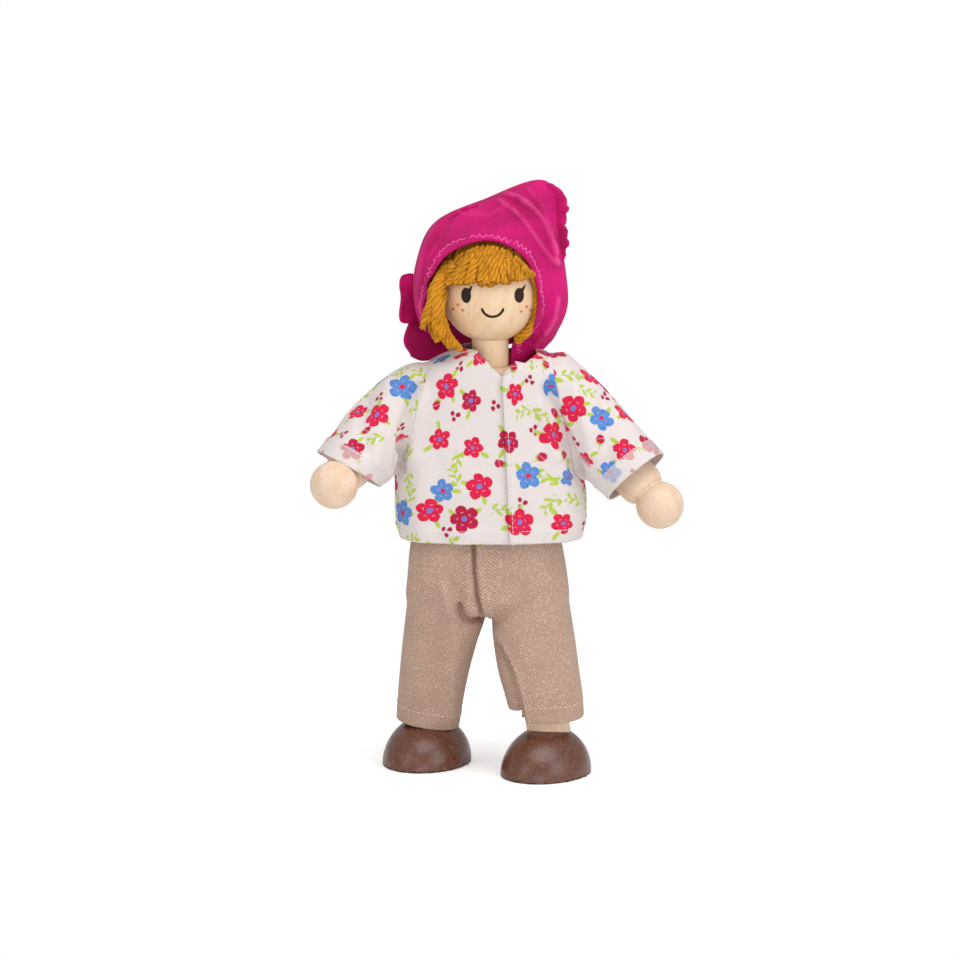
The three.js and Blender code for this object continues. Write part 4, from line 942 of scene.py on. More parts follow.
def printed_cotton():
    """Cotton lawn: an off-white plain weave printed with red, crimson and blue five-petalled flowers about
    5 mm wide, berries in threes and green sprigs. It is matt with a faint soft edge."""
    made, tree, shader = start_material("printed_cotton_lawn")
    place = cloth_place(tree)

    def cells(pitch, scatter, at_place):
        """The nearest motif: the way from its middle, its distance, and three random numbers of its own."""
        near = add_node(tree, "ShaderNodeTexVoronoi", {
            "Vector": at_place, "Scale": 1 / pitch, "Randomness": scatter}, voronoi_dimensions="2D")
        way = vector(tree, "SUBTRACT", at_place, near.outputs["Position"])
        own = add_node(tree, "ShaderNodeSeparateColor", {"Color": near.outputs["Color"]})
        return (near.outputs["Position"], way, length(tree, "LENGTH", way),
                *[Sum(tree, own.outputs[name]) for name in ("Red", "Green", "Blue")])

    def inside(depth, edge=0.09):
        """1 where the depth below a motif's outline is positive, with a printed edge's softness."""
        return depth.ranged(-edge, edge)

    def line(off, half_width, edge=0.06):
        """A printed line along the places where `off` is 0."""
        return inside(half_width - abs(off), edge)

    def oval(x, y, half_x, half_y):
        """How deep a point is inside an oval: positive inside."""
        return (1.0 - ((x / half_x) ** 2.0 + (y / half_y) ** 2.0)) * (min(half_x, half_y) / 2)

    def turned_way(way, turns):
        """The way from the motif's middle, turned by its own random angle, and its direction."""
        spun = add_node(tree, "ShaderNodeVectorRotate", {
            "Vector": way, "Angle": turns * (2 * math.pi)}, rotation_type="Z_AXIS")
        parts = add_node(tree, "ShaderNodeSeparateXYZ", {"Vector": spun.outputs["Vector"]})
        x, y = Sum(tree, parts.outputs["X"]), Sum(tree, parts.outputs["Y"])
        return x, y, y.work("ARCTAN2", x)

    def sector(far, direction, number, shift=0.0):
        """Coordinates in one of a number of equal sectors: out from the middle, and across."""
        step = 2 * math.pi / number
        local = (direction + shift) % step - step / 2
        return far * local.work("COSINE"), far * local.work("SINE")

    off = vector(tree, "SUBTRACT", noise(tree, place, 0.6, 1.0, output="Color"), (0.5, 0.5, 0.5))
    drawn = vector(tree, "ADD", place, vector(tree, "SCALE", off, Scale=0.7))

    # small motifs, about 5.6 mm apart, where no flower is close
    spot, way, far, pick, turns, _ = cells(SPRIG_PITCH, 0.62, drawn)
    free = cells(BLOOM_PITCH, 0.6, spot)[2] > 4.3
    x, y, direction = turned_way(way, turns)
    is_berries = free * (pick < 0.3)
    is_sprig = free * (pick > 0.52)
    is_bud = free * ((pick > 0.3) * (pick < 0.52))
    out, across = sector(far, direction, 3)
    colour = (inside(oval(out - 0.85, across, 0.56, 0.56)) * is_berries).paint(LAWN_WHITE, "#a81d43")
    bend = y - x ** 2.0 * 0.1
    stem = line(bend, 0.1) * (abs(x) < 1.9)
    colour = (stem * is_sprig).paint(colour, STEM_GREEN)
    # the sprig's leaves stand 2 mm apart along the stem, by turns on its two sides, slanting forward
    along = (x - (bend > 0.0) - abs(bend) * 0.8) % 2.0 - 1.0
    leaf = inside(oval(along, abs(bend) - 0.72, 0.5, 0.66)) * (abs(x - 0.3) < 2.3)
    colour = (leaf * is_sprig).paint(colour, LEAF_GREEN)
    # a bud has a green cup and a stalk behind it, and a pale slit
    stalk = line(y - x ** 2.0 * 0.06, 0.09) * ((x > 0.9) * (x < 3.0))
    cup = inside(oval(x - 1.15, y, 0.45, 0.85))
    colour = (stalk.work("MAXIMUM", cup) * is_bud).paint(colour, STEM_GREEN)
    bud_colour = (line(x + y * 0.5, 0.09) * 0.8).paint("#c21d46", "#f0a9bb")
    colour = (inside(oval(x, y, 1.15, 1.0)) * is_bud).paint(colour, bud_colour)

    # flowers, about 10.5 mm apart, each with two or three leaves
    spot, way, far, pick, turns, growth = cells(BLOOM_PITCH, 0.6, drawn)
    x, y, direction = turned_way(way, turns)
    out, across = sector(far, direction, 3, 0.4)
    leafy = direction < 1.7
    colour = (inside(oval(out - 3.3, across - 0.3, 1.05, 0.5)) * leafy).paint(colour, LEAF_GREEN)
    colour = (line(across, 0.09) * (far < 3.1) * leafy).paint(colour, STEM_GREEN)
    size = growth * 1.3 + 2.05
    lobe = abs((direction * 2.5).work("COSINE")) ** 0.6
    petals = inside(size * lobe.work("MULTIPLY_ADD", 0.42, 0.6) - far)
    is_blue = pick > 0.8
    is_crimson = pick < 0.27
    shade = inside(noise(tree, drawn, 1.6, 1.0) - 0.6, 0.03)
    red, crimson, blue = [shade.paint(*pair) for pair in (
        ("#dd1f49", "#c01c42"), ("#b21b42", "#d41f48"), ("#5b8ccf", "#4a79bf"))]
    colour = petals.paint(colour, is_blue.paint(is_crimson.paint(red, crimson), blue))
    colour = inside(size * 0.2 - far).paint(colour, is_blue.paint("#7f78c4", "#d6244c"))
    rays = abs((direction * 2.5).work("SINE")) < 0.5
    colour = (line(far - size * 0.46, 0.09, 0.05) * rays * 0.75).paint(colour, "#f0a9bb")
    # the print is paler on the cloth's wrong side, which shows inside and on the turned cuffs, and runs out on
    # the underside of the sleeves, beside their seams
    colour = told(tree, "wrong_side_mm").ranged(0, 0.12, 0, 0.5).paint(colour, LAWN_WHITE)
    colour = told(tree, "beside_seam").paint(colour, LAWN_WHITE)

    # a plain weave, 0.3 mm to a thread, seen only as a soft grain
    threads, wefts = [Sum(tree, add_node(tree, "ShaderNodeTexWave", {
        "Vector": place, "Scale": 1.05, "Distortion": 0.6}, bands_direction=way).outputs["Fac"])
        for way in "XY"]
    relief = noise(tree, place, 0.22, 3.0).work("MULTIPLY_ADD", 6.0, (threads + wefts) * 0.25)
    set_inputs(tree, shader, {
        "Base Color": colour, "Normal": relief.bump(0.5, 0.00012), "Roughness": 0.85,
        "Specular IOR Level": 0.2, "Sheen Weight": 0.08})
    return made


lawn = printed_cotton()
body_tube = upright_rings([
    (52, 0.4, 20.4, 11.9, 2.7), (56, 0.4, 21.3, 12.3, 2.7), (60, 0.2, 22.2, 12.2, 2.7),
    (67, 0, 22.1, 11.8, 2.7), (73, -0.9, 21.0, 11.3, 2.7), (81, -0.7, 19.0, 10.5, 2.7), (88.5, -0.5, 17.7, 9.9, 2.7),
    (93.2, -0.3, 16.2, 9.7, 2.7), (96.4, 0, 14.0, 9.0, 2.7), (98.2, 0.2, 10.6, 7.8, 2.5),
    (99.6, 0.2, 7.6, 6.4, 2.2), (102, 0.2, 6.0, 5.6, 2)])
right_tube = limb_rings([
    (-8.6, 93.5, -14.6, 76.5, 0, 7.4), (-16.6, 96.1, -22.4, 72, -0.4, 8.4), (-23, 93, -23.8, 70.2, -1.2, 9.2),
    (-29, 87.7, -24.8, 69, -2.8, 10), (-34.6, 81.9, -25.6, 68.4, -5.4, 10.4),
    (-39.1, 76.9, -26.8, 67.2, -7.0, 10.7), (-41.6, 72.9, -29.8, 62.4, -8.0, 10.5)])
left_tube = limb_rings([
    (8.6, 93.5, 14, 77, 0, 7.4), (16.5, 97.2, 19.6, 73, -0.3, 8.4), (23.2, 93, 21.4, 70.2, -1.6, 8.6),
    (29.8, 86.4, 23.2, 68.3, -3.2, 8.6), (35.2, 80.6, 25.2, 66.5, -4.8, 8.3),
    (39.5, 75.8, 27.3, 64.7, -6.2, 8.0), (42.6, 72.6, 30.2, 61.6, -7.6, 7.9)])
cuffs = {"right": (-1, (-38.7, -7.5, 75.9), (-0.492, -0.203, -0.846)),
         "left": (1, (33.4, -6.2, 70.1), (0.633, -0.291, -0.716))}
shirt = one_cloth("shirt", [body_tube, right_tube, left_tube], 0.6, 12, lawn)
press_folds(shirt, [
    ([(-18.6, 90), (-20.6, 84), (-21.9, 78), (-22.6, 70)], 1.0, -1.7),
    ([(-17.0, 88), (-18.6, 80), (-20.0, 72)], 1.5, 0.9),
    ([(-25.0, 90), (-27.0, 82), (-27.6, 72)], 1.8, 0.8),
    ([(-30.5, 86), (-31.5, 80), (-30.0, 74)], 1.5, -0.8),
    ([(11.6, 88), (14.0, 81.6), (16.8, 74), (18.6, 69.0)], 1.0, -1.8),
    ([(9.5, 84), (12.0, 77), (14.8, 69)], 1.5, 0.9),
    ([(6.0, 90), (8.0, 84), (9.5, 76)], 1.4, -0.5),
    ([(17.0, 90), (19.5, 82), (21.5, 73)], 1.7, 0.9),
    ([(24.5, 86), (25.5, 79), (25.0, 72)], 1.5, -0.9),
    ([(31.0, 82), (29.5, 76), (27.5, 70)], 1.9, 0.35),
    ([(-17.5, 72), (-18.5, 62), (-17.5, 52)], 2.0, 0.5),
    ([(-13.5, 70), (-14.0, 60), (-13.0, 52)], 1.8, -0.4),
    ([(-7.0, 64), (-7.5, 52)], 2.2, 0.35),
    ([(13.5, 72), (15.0, 62), (15.5, 54)], 2.0, 0.5),
    ([(9.5, 70), (10.5, 60), (10.2, 53)], 1.8, -0.35),
    ([(-12.5, 96), (-9.0, 90)], 1.6, -0.3),
    ([(9.0, 95), (7.5, 89)], 1.6, -0.3),
])
press_folds(shirt, [
    ([(-15.5, 88), (-17.8, 80), (-19.0, 72)], 1.4, -0.8),
    ([(12.0, 88), (14.4, 80), (15.6, 72)], 1.4, -0.8),
    ([(-9.0, 92), (-11.0, 76), (-12.0, 60)], 2.4, 0.6),
    ([(-1.5, 90), (-2.0, 74), (-2.5, 58)], 2.0, -0.5),
    ([(6.0, 90), (7.5, 76), (9.0, 60)], 2.4, 0.6),
    ([(-26.0, 86), (-28.0, 78)], 2.0, 0.5),
    ([(23.0, 86), (26.0, 78)], 2.0, 0.5),
], facing=1)
places, normals = cloth_points(shirt)
for sign, edge, out in cuffs.values():
    # the turned cuff is a second layer that stands up a little
    depth = -(places - edge) @ np.array(out)
    in_sleeve = places[:, 0] * sign > 22.5
    places += normals * (0.32 * (1 - smooth_rise(depth, CUFF_HEM - 0.25, CUFF_HEM + 0.35)) * in_sleeve)[:, None]
# so does the hem, which hangs in a slow wave and higher at the left; and the left shoulder is raised
places += normals * (0.25 * (1 - smooth_rise(places[:, 2], 58.6, 59.2)))[:, None]
lower, x = 1 - smooth_rise(places[:, 2], 56, 74), places[:, 0]
places[:, 2] += lower * (1.7 * smooth_rise(x, 14, 22) + 0.25 * np.sin(x * 0.55 + 1) + 0.2 * np.sin(x * 1.1)
                         - 0.4 * smooth_rise(-x, 14, 22))
raised = smooth_rise(x, 8.0, 13) * (1 - smooth_rise(x, 16.5, 21))
places[:, 2] += 1.4 * raised * smooth_rise(places[:, 2], 89, 95)
put_points(shirt, places)
for sign, edge, out in cuffs.values():
    cut_off(shirt, (edge, out), ((sign * 24.2, 0, 0), (sign, 0, 0)))
# the hem, the neck, its slope to the left, the V, and the lower slope of the neck's front
FRONT = ((0, -1, 0), (0, -1, 0))
for planes in (
        [((0, 0, 55.6), (0, 0, -1))],
        [((-4, 0, 99.9), (0.05, 0, 1))],
        [((8.0, 0, 97.7), (0.2, 0, 1)), ((0.5, 0, 0), (1, 0, 0)), ((8.0, 0, 0), (-1, 0, 0))],
        [((8.0, 0, 97.7), (-0.5, 0, 1)), ((8.0, 0, 0), (1, 0, 0)), ((13.0, 0, 0), (-1, 0, 0))],
        [((2.6, 0, 94.2), (0.7, 0, 0.71)), ((2.6, 0, 94.2), (-0.72, 0, 0.69)), FRONT],
        [((8.0, 0, 97.1), (0.22, 0, 1)), ((3.0, 0, 0), (1, 0, 0)), ((8.0, 0, 0), (-1, 0, 0)), FRONT],
        [((8.0, 0, 97.1), (-0.6, 0, 1)), ((8.0, 0, 0), (1, 0, 0)), ((13.0, 0, 0), (-1, 0, 0)), FRONT]):
    cut_off(shirt, *planes)


def tell(obj, name, values):
    """Lays a number on each point of a piece, for its material to read."""
    obj.data.attributes.new(name, "FLOAT", "POINT").data.foreach_set("value", values.astype(np.float32))


def make_lawn(obj, band=None):
    """Gives the shirt's cloth its thickness, and tells how far in mm each point lies on the wrong side: all of
    its inside, and the turned cuff."""
    outside = len(obj.data.vertices)
    thicken(obj, LAWN_THICK)
    values = np.ones(len(obj.data.vertices))
    values[:outside] = 0
    if band:
        _, edge, out = band
        values[:outside] = np.clip(CUFF_HEM + (cloth_points(obj)[0][:outside] - edge) @ np.array(out), -1, 1)
    tell(obj, "wrong_side_mm", values)


girth_angle = np.linspace(-np.pi, np.pi, 721)
girth_c, girth_s = np.cos(girth_angle), np.sin(girth_angle)
girth = np.stack([np.sign(w) * np.abs(w) ** (2 / BODY_POWER) for w in (girth_c, girth_s)], axis=1) * BODY_HALF
girth_way = np.unwrap(np.arctan2(girth[:, 1] / BODY_HALF[1], girth[:, 0] / BODY_HALF[0]))


def run_length(points):
    """How far each point of a line lies from its start."""
    return np.concatenate([[0], np.cumsum(np.linalg.norm(np.diff(points, axis=0), axis=1))])


def body_print(points):
    """Around the body from the middle of the back, and up; on top of the shoulders, in to the neck too."""
    way = np.arctan2(-points[:, 1] / BODY_HALF[1], points[:, 0] / BODY_HALF[0])
    inward = np.maximum(0, 14 - np.abs(points[:, 0])) * smooth_rise(points[:, 2], 94.5, 97)
    inward *= 1 - smooth_rise(np.abs(points[:, 1]), 4, 7)
    around = run_length(girth)
    return -np.interp(way, girth_way, around), points[:, 2] + 0.8 * inward, around[-1]


SLEEVE_RADIUS = 9.6
SLEEVE_LINE = {"right": ((-14, 0, 87), (-33, -9, 72)), "left": ((13.5, 0, 87), (33.5, -6, 70))}


def sleeve_print(points, side):
    """Around the sleeve, and along it."""
    along, out, back = limb_places(points, *SLEEVE_LINE[side])
    sign = 1 if side == "right" else -1
    return sign * np.arctan2(back, -out) * SLEEVE_RADIUS + 31, along * sign + 17, 2 * np.pi * SLEEVE_RADIUS


def lay_seam(obj, side):
    """Marks the underside of a sleeve, from 112 to 129 degrees round from its top, with a soft change."""
    _, out, back = limb_places(cloth_points(obj)[0], *SLEEVE_LINE[side])
    from_top = np.abs(np.arctan2(back, out if side == "left" else -out))
    tell(obj, "beside_seam", smooth_rise(from_top, 1.95, 2.25))


# the lapping edge of the left front, 5 mm wide from the V of the neck to the hem
V_FOOT, HEM_HEIGHT, LAP_PROUD = 94.3, 55.7, 0.74
LAP_ROWS, LAP_COLUMNS = 77, 13
front_tree = surface_tree(shirt)


def on_front(x, z):
    """The place on the shirt's front at x across and z up, if there is one."""
    return front_tree.ray_cast(Vector(at((x, -40, z))), Vector(BACK))[0]


lap = []
for t in np.linspace(0, 1, LAP_ROWS):
    for s in np.linspace(0, 1, LAP_COLUMNS):
        # its free edge runs from the V down to the hem, leaning a little to the left side
        x = 2.55 + 1.9 * t + 5.2 * s
        z = V_FOOT + 2.6 * s * (1 - t) ** 6 - (V_FOOT - HEM_HEIGHT) * t
        hit = on_front(x, z) or front_tree.find_nearest(Vector(at((x, -9, z))))[0]
        lap.append(np.array(hit) / MM + np.array([0.1, -1, 0]) * (LAP_PROUD - 1.3 * smooth_rise(s, 0.15, 1.0)))
front_lap = new_mesh("shirt_front_lap", lap, net_faces(LAP_ROWS, LAP_COLUMNS, flip=True), lawn)
lay_print(front_lap, body_print)
thicken(front_lap, LAWN_THICK)
give(front_lap, "torso", "printed_cotton", "shirt_body")

# stitches: down the lapping edge, along the neck, round the hem and round both cuffs
white_thread = sewing_thread("white_thread", "#f1eae7")
fine_stitch = {"Pitch": 0.001, "Stitch Length": 0.00088, "Thread Radius": 0.00007, "Thread": white_thread}
edge_line = [lap[r * LAP_COLUMNS + 2] - SPINE + (0, -0.08, 0) for r in range(2, LAP_ROWS)]
neck_hits = [on_front(2.6 - 0.71 * t - 0.7, 94.2 + 0.7 * t - 0.71) for t in np.linspace(8.5, 0.8, 40)]
neck_line = [np.array(hit) / MM - SPINE + (0, -0.06, 0) for hit in neck_hits if hit is not None]
hem_line = line_round(front_tree, (0.3, 0, 58.6), (0, 0, 1))
give(grown("shirt_front_stitches", [edge_line, neck_line, hem_line], running_stitch, fine_stitch),
     "torso", "printed_cotton")
cuff_middles = {"right": (-34.2, -7.2, 72.6), "left": cuffs["left"][1]}
cuff_lines = {side: line_round(front_tree, np.array(cuff_middles[side]) - np.array(out) * CUFF_HEM, out)
              for side, (_, _, out) in cuffs.items()}

ARMHOLE = {"right": ((-24, 0, 71), (-0.968, 0, 0.252)), "left": ((22.4, 0, 72), (0.968, 0, 0.2))}
UNDER_ARM = {"right": ((-22.6, 0, 69.4), (-0.75, 0, 0.66)), "left": ((21.0, 0, 69.6), (0.66, 0, 0.75))}
ZONES = [-3.0, 1.8, 4.4, 8.6]


def hang_on_arm(obj, side, edge, way, kind):
    """Divides a sleeve or its stitching where the joints are into three parts, and gives back those that are not
    empty, each with its number.
    """
    armhole_part, rest = divide(obj, edge + way * ZONES[1], way,
                                [f"{side}_armhole_{kind}", f"{side}_rest"], closed=True)
    shoulder_part, cuff_part = divide(rest, edge + way * ZONES[2], way,
                                      [f"{side}_shoulder_{kind}", f"{side}_cuff_{kind}"], closed=True)
    hung = []
    for k, piece in enumerate((armhole_part, shoulder_part, cuff_part)):
        if not piece.data.polygons:
            bpy.data.objects.remove(piece)
            continue
        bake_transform(piece)
        hung.append((piece, k))
    return hung


cloth = shirt
for side in SIDES:
    edge, way = [np.array(v, float) for v in ARMHOLE[side]]
    way /= np.linalg.norm(way)
    cloth, sleeve = divide(cloth, edge + way * ZONES[0], way, [f"shirt_without_{side}", f"{side}_sleeve_cloth"])
    # what lies beyond the armhole but below the sleeve is still the body's side
    body_side, sleeve = divide(sleeve, *UNDER_ARM[side], [f"{side}_body_side", f"{side}_sleeve_only"])
    cloth = join(f"shirt_without_{side}_sleeve", [cloth, body_side])
    with edited(cloth) as work:
        bmesh.ops.remove_doubles(work, verts=work.verts, dist=2e-6)
    lay_print(sleeve, sleeve_print, side)
    make_lawn(sleeve, cuffs[side])
    lay_seam(sleeve, side)
    for piece, k in hang_on_arm(sleeve, side, edge, way, "cloth"):
        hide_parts(f"{side}_sleeve")
    cuff_stitches = grown(f"{side}_cuff_thread", [cuff_lines[side]], running_stitch, fine_stitch)
    hang_on_arm(cuff_stitches, side, edge, way, "stitches")
cloth.name = "shirt_body_cloth"
lay_print(cloth, body_print)
make_lawn(cloth)
give(cloth, "torso", "printed_cotton", "shirt_body")

# Hair: mustard wool yarn of three plies, laid over the crown and glued, with a trimmed fringe on the brow and
# longer ends at both cheeks. The kerchief covers all but the front.
PLIES = 3


def plied_yarn_tree():
    """Lines become three-ply yarn: each ply winds round the line with the pitch of the twist."""
    tree, given, even = line_tree("plied_yarn", "Step", ("Yarn Radius", "Float"), ("Twist Pitch", "Float"),
                                  ("Step", "Float"), ("Yarn", "Material"))
    radius = Sum(tree, given["Yarn Radius"])
    here = add_node(tree, "GeometryNodeInputPosition").outputs["Position"]
    cored = add_node(tree, "GeometryNodeStoreNamedAttribute", {
        "Geometry": even, "Name": "yarn_core", "Value": here}, data_type="FLOAT_VECTOR")
    normal = add_node(tree, "GeometryNodeInputNormal").outputs["Normal"]
    tangent = add_node(tree, "GeometryNodeInputTangent").outputs["Tangent"]
    side = vector(tree, "CROSS_PRODUCT", tangent, normal)
    run = Sum(tree, add_node(tree, "GeometryNodeSplineParameter").outputs["Length"])
    winding = run / given["Twist Pitch"] * (2 * math.pi)
    section = add_node(tree, "GeometryNodeCurvePrimitiveCircle", {"Resolution": 7, "Radius": radius * 0.56})
    plies = add_node(tree, "GeometryNodeJoinGeometry")
    for k in range(PLIES):
        phase = winding + k * 2 * math.pi / PLIES
        way = vector(tree, "ADD", vector(tree, "SCALE", normal, Scale=phase.work("COSINE")),
                     vector(tree, "SCALE", side, Scale=phase.work("SINE")))
        moved = add_node(tree, "GeometryNodeSetPosition", {
            "Geometry": cored.outputs["Geometry"], "Offset": vector(tree, "SCALE", way, Scale=radius * 0.5)})
        ply = add_node(tree, "GeometryNodeCurveToMesh", {
            "Curve": moved.outputs["Geometry"], "Profile Curve": section.outputs["Curve"], "Fill Caps": True})
        tree.links.new(ply.outputs["Mesh"], plies.inputs["Geometry"])
    smooth = add_node(tree, "GeometryNodeSetShadeSmooth", {"Geometry": plies.outputs["Geometry"]})
    real = add_node(tree, "GeometryNodeRealizeInstances", {"Geometry": smooth.outputs["Geometry"]})
    # how far out each point lies from the yarn's core, as a share of the yarn's radius
    core = add_node(tree, "GeometryNodeInputNamedAttribute", {"Name": "yarn_core"}, data_type="FLOAT_VECTOR")
    height = length(tree, "DISTANCE", here, core.outputs["Attribute"]) / radius
    marked = add_node(tree, "GeometryNodeStoreNamedAttribute", {
        "Geometry": real.outputs["Geometry"], "Name": "ply_height", "Value": height}, data_type="FLOAT")
    return end_tree(tree, marked, given["Yarn"])


def wool(name):
    """Wool yarn: mustard, with painted shade where the plies meet, fine fibres across, dull with a soft fuzz."""
    made, tree, shader = start_material(name)
    place = object_place(tree)
    fibres = noise(tree, place, 4200.0, 3.0)
    dyed = noise(tree, place, 420.0, 2.0).ranged(0.45, 0.68, 0, 0.5)
    dyed = dyed.paint(fibres.paint("#bd7a17", "#e9a42f"), "#935a10")
    set_inputs(tree, shader, {
        # painted shade: the yarn is darker near its core, where the plies meet
        "Base Color": told(tree, "ply_height").ranged(0.62, 0.96, 0.7, 0.0).paint(dyed, "#6f3f0a"),
        "Normal": fibres.bump(0.7), "Roughness": 0.95, "Specular IOR Level": 0.15,
        "Sheen Weight": 0.3, "Sheen Tint": linear("#f2c25a")})
    return made


chance = np.random.default_rng(7)


def over_head(radius, x, z):
    """A point over the front of the head ball, at a height of radius from its middle."""
    return x, -math.sqrt(max(0.0, radius ** 2 - x * x - (z - HEAD_Z) ** 2)), z


fringe_lines = []
for layer, (radius, count) in enumerate(((11.95, 23), (12.6, 21), (13.2, 16))):
    for i in range(count):
        s = (i + 0.5 * layer) / (count - 1 + 0.5 * layer)
        root_x, end_x = -9.0 + 15.6 * s, -12.2 + 22.6 * s
        end_z = 115.8 + 1.4 * smooth_rise(s, 0.45, 1.0) + chance.uniform(-0.7, 0.5) + 0.15 * layer
        end_z += 0.9 * math.exp(-((end_x + 4.0) / 1.4) ** 2)
        root_z = 124.8 - 0.055 * (root_x + 1) ** 2 - 1.0 * layer
        sway = chance.uniform(-0.7, 0.7)
        fringe_lines.append([over_head(
            radius + 0.25 * math.sin(5 * t + 2 * i) * t + 1.1 * (1 - t) ** 2,
            root_x + (end_x - root_x) * (0.25 * t + 0.75 * t ** 1.35) + sway * math.sin(3.1 * t + i),
            root_z + (end_z - root_z) * t) for t in np.linspace(0, 1, 9)])
yarn_tree = plied_yarn_tree()
thick_yarn = {"Yarn Radius": 0.0008, "Twist Pitch": 0.0046, "Step": 0.0004, "Yarn": wool("mustard_wool")}


def lay_hair(name, lines, node, changes=()):
    """Strands along lines, glued to the head."""
    give(grown(name, lines, yarn_tree, {**thick_yarn, **dict(changes)}), "head", "yarn", node)


def lock_lines(path, spread, count):
    """A few strands side by side along a path, wandering a little over and under each other."""
    dense = smooth_levels(path, 5)
    lines = []
    for k in range(count):
        angle = 2 * math.pi * k / count + chance.uniform(-0.5, 0.5)
        shift = np.array([math.cos(angle), 0.6 * math.sin(angle), 0.15 * math.sin(angle)]) * spread
        stop = len(dense) - int(chance.integers(0, 3))
        lines.append([p + shift * (1 + 0.25 * math.sin(0.8 * j + k)) + (0, 0, 0.5 * math.sin(k * 2.1))
                      for j, p in enumerate(dense[:stop])])
    return lines


lay_hair("fringe_yarn", fringe_lines, "hair_fringe")
right_locks = []
for path, count in (
        ([(-9.4, -5.2, 119.5), (-12.0, -7.4, 116), (-13.0, -8.3, 112.5), (-14.0, -8.6, 108.8),
          (-14.9, -8.4, 105.6)], 4),
        ([(-10.0, -6.0, 118), (-12.0, -8.2, 114), (-12.1, -9.2, 110), (-11.9, -9.3, 106),
          (-10.9, -9.2, 102.9)], 5),
        ([(-11.2, -7.0, 114), (-11.7, -7.8, 110), (-11.2, -8.1, 106), (-9.4, -7.8, 102.4),
          (-7.6, -7.0, 99.9)], 5),
        ([(-11.9, -5.0, 112), (-12.7, -5.5, 107.5), (-12.2, -6.0, 103.9), (-10.6, -6.0, 101.4)], 4)):
    right_locks += lock_lines(path, 0.78, count)
lay_hair("right_locks_yarn", right_locks, "right_hair_locks")

left_locks = []
for path, spread in (
        ([(9.8, -6.6, 117.4), (10.5, -5.6, 114.6), (10.7, -5.4, 111.0), (10.5, -4.9, 108.0), (9.9, -4.4, 105.8),
          (8.8, -4.0, 103.8), (7.1, -3.6, 102.2), (5.6, -3.2, 101.4)], 0.22),
        ([(10.5, -4.8, 112), (10.4, -4.4, 108.6), (9.9, -3.8, 106.2), (8.9, -3.4, 104.2), (7.2, -3.0, 102.7),
          (5.9, -2.8, 101.9)], 0.3)):
    left_locks += lock_lines(path, spread, 3)
lay_hair("left_lock_yarn", left_locks, "left_hair_lock", {"Yarn Radius": 0.00062})

# the rest of the crown, in strands that run down from the top to the nape
CROWN_RADIUS, CROWN_STRANDS = 12.35, 44
cap_lines = []
for i in range(CROWN_STRANDS):
    way = math.radians(-8 + 196 * i / (CROWN_STRANDS - 1))
    line = []
    for t in np.linspace(0.0, 1, 14):
        fall = math.radians(6 + (118 - 14 * abs(math.cos(way))) * t)
        reach = CROWN_RADIUS + 0.2 * math.sin(4 * t + 3 * i)
        line.append((-0.6 + reach * math.sin(fall) * math.cos(way), reach * math.sin(fall) * math.sin(way),
                     HEAD_Z + reach * math.cos(fall)))
    cap_lines.append(line)
lay_hair("crown_yarn", cap_lines, "hair_cap", {"Yarn Radius": 0.00085, "Step": 0.0008})

# Kerchief: a triangle of magenta cotton jersey, its long edge round the face and stitched in a zigzag, its
# other edges overlocked so that they ripple. It stands up in a point and is knotted behind the right ear.
JERSEY_THICK, HEM_THICK = 0.6, 0.5


def knit_jersey(name):
    """Cotton jersey: deep magenta, fine rows of knit 0.35 mm apart, soft, with a painted highlight on the crests of
    its folds.
    """
    made, tree, shader = start_material(name)
    place = cloth_place(tree)
    rows, wales = [Sum(tree, add_node(tree, "ShaderNodeTexWave", {
        "Vector": place, "Scale": 0.9, "Distortion": 1.5, "Detail": 1.0}, bands_direction=way).outputs["Fac"])
        for way in "YX"]
    knit = rows + wales
    colour = noise(tree, object_place(tree), 110.0, 3.0).ranged(0.35, 0.7).paint("#ac0959", "#d50b74")
    colour = knit.ranged(1.2, 2.0, 0, 0.25).paint(colour, "#e22383")
    # painted highlight: the crests of its folds are painted paler
    colour = told(tree, "ridge_mm").ranged(0.2, 1.0, 0, 0.6).paint(colour, "#f2559b")
    set_inputs(tree, shader, {
        "Base Color": colour, "Normal": knit.bump(0.25), "Roughness": 0.8, "Specular IOR Level": 0.25,
        "Sheen Weight": 0.09, "Sheen Tint": linear("#ff7ab8")})
    return made


def net_between(rows, row_steps, column_steps):
    """A fine smooth net through a coarse one: an array of rows, columns and places."""
    across = np.array([smooth_levels(row, column_steps) for row in rows])
    return np.stack([smooth_levels(across[:, c], row_steps) for c in range(across.shape[1])], axis=1)


def net_mesh(name, net, material):
    """A net as cloth. Its UV map in mm is the mean length along the columns and along the rows."""
    faces = net_faces(*net.shape[:2], flip=True)
    obj = new_mesh(name, net.reshape(-1, 3) + SPINE, faces, material)
    along = [np.linalg.norm(np.diff(net, axis=k), axis=2).mean(axis=1 - k) for k in (0, 1)]
    v, u = [np.concatenate([[0], np.cumsum(step)]) for step in along]
    lay_flat(obj, np.stack(np.meshgrid(u, v), axis=2).reshape(-1, 2)[np.array(faces).ravel()])
    return obj


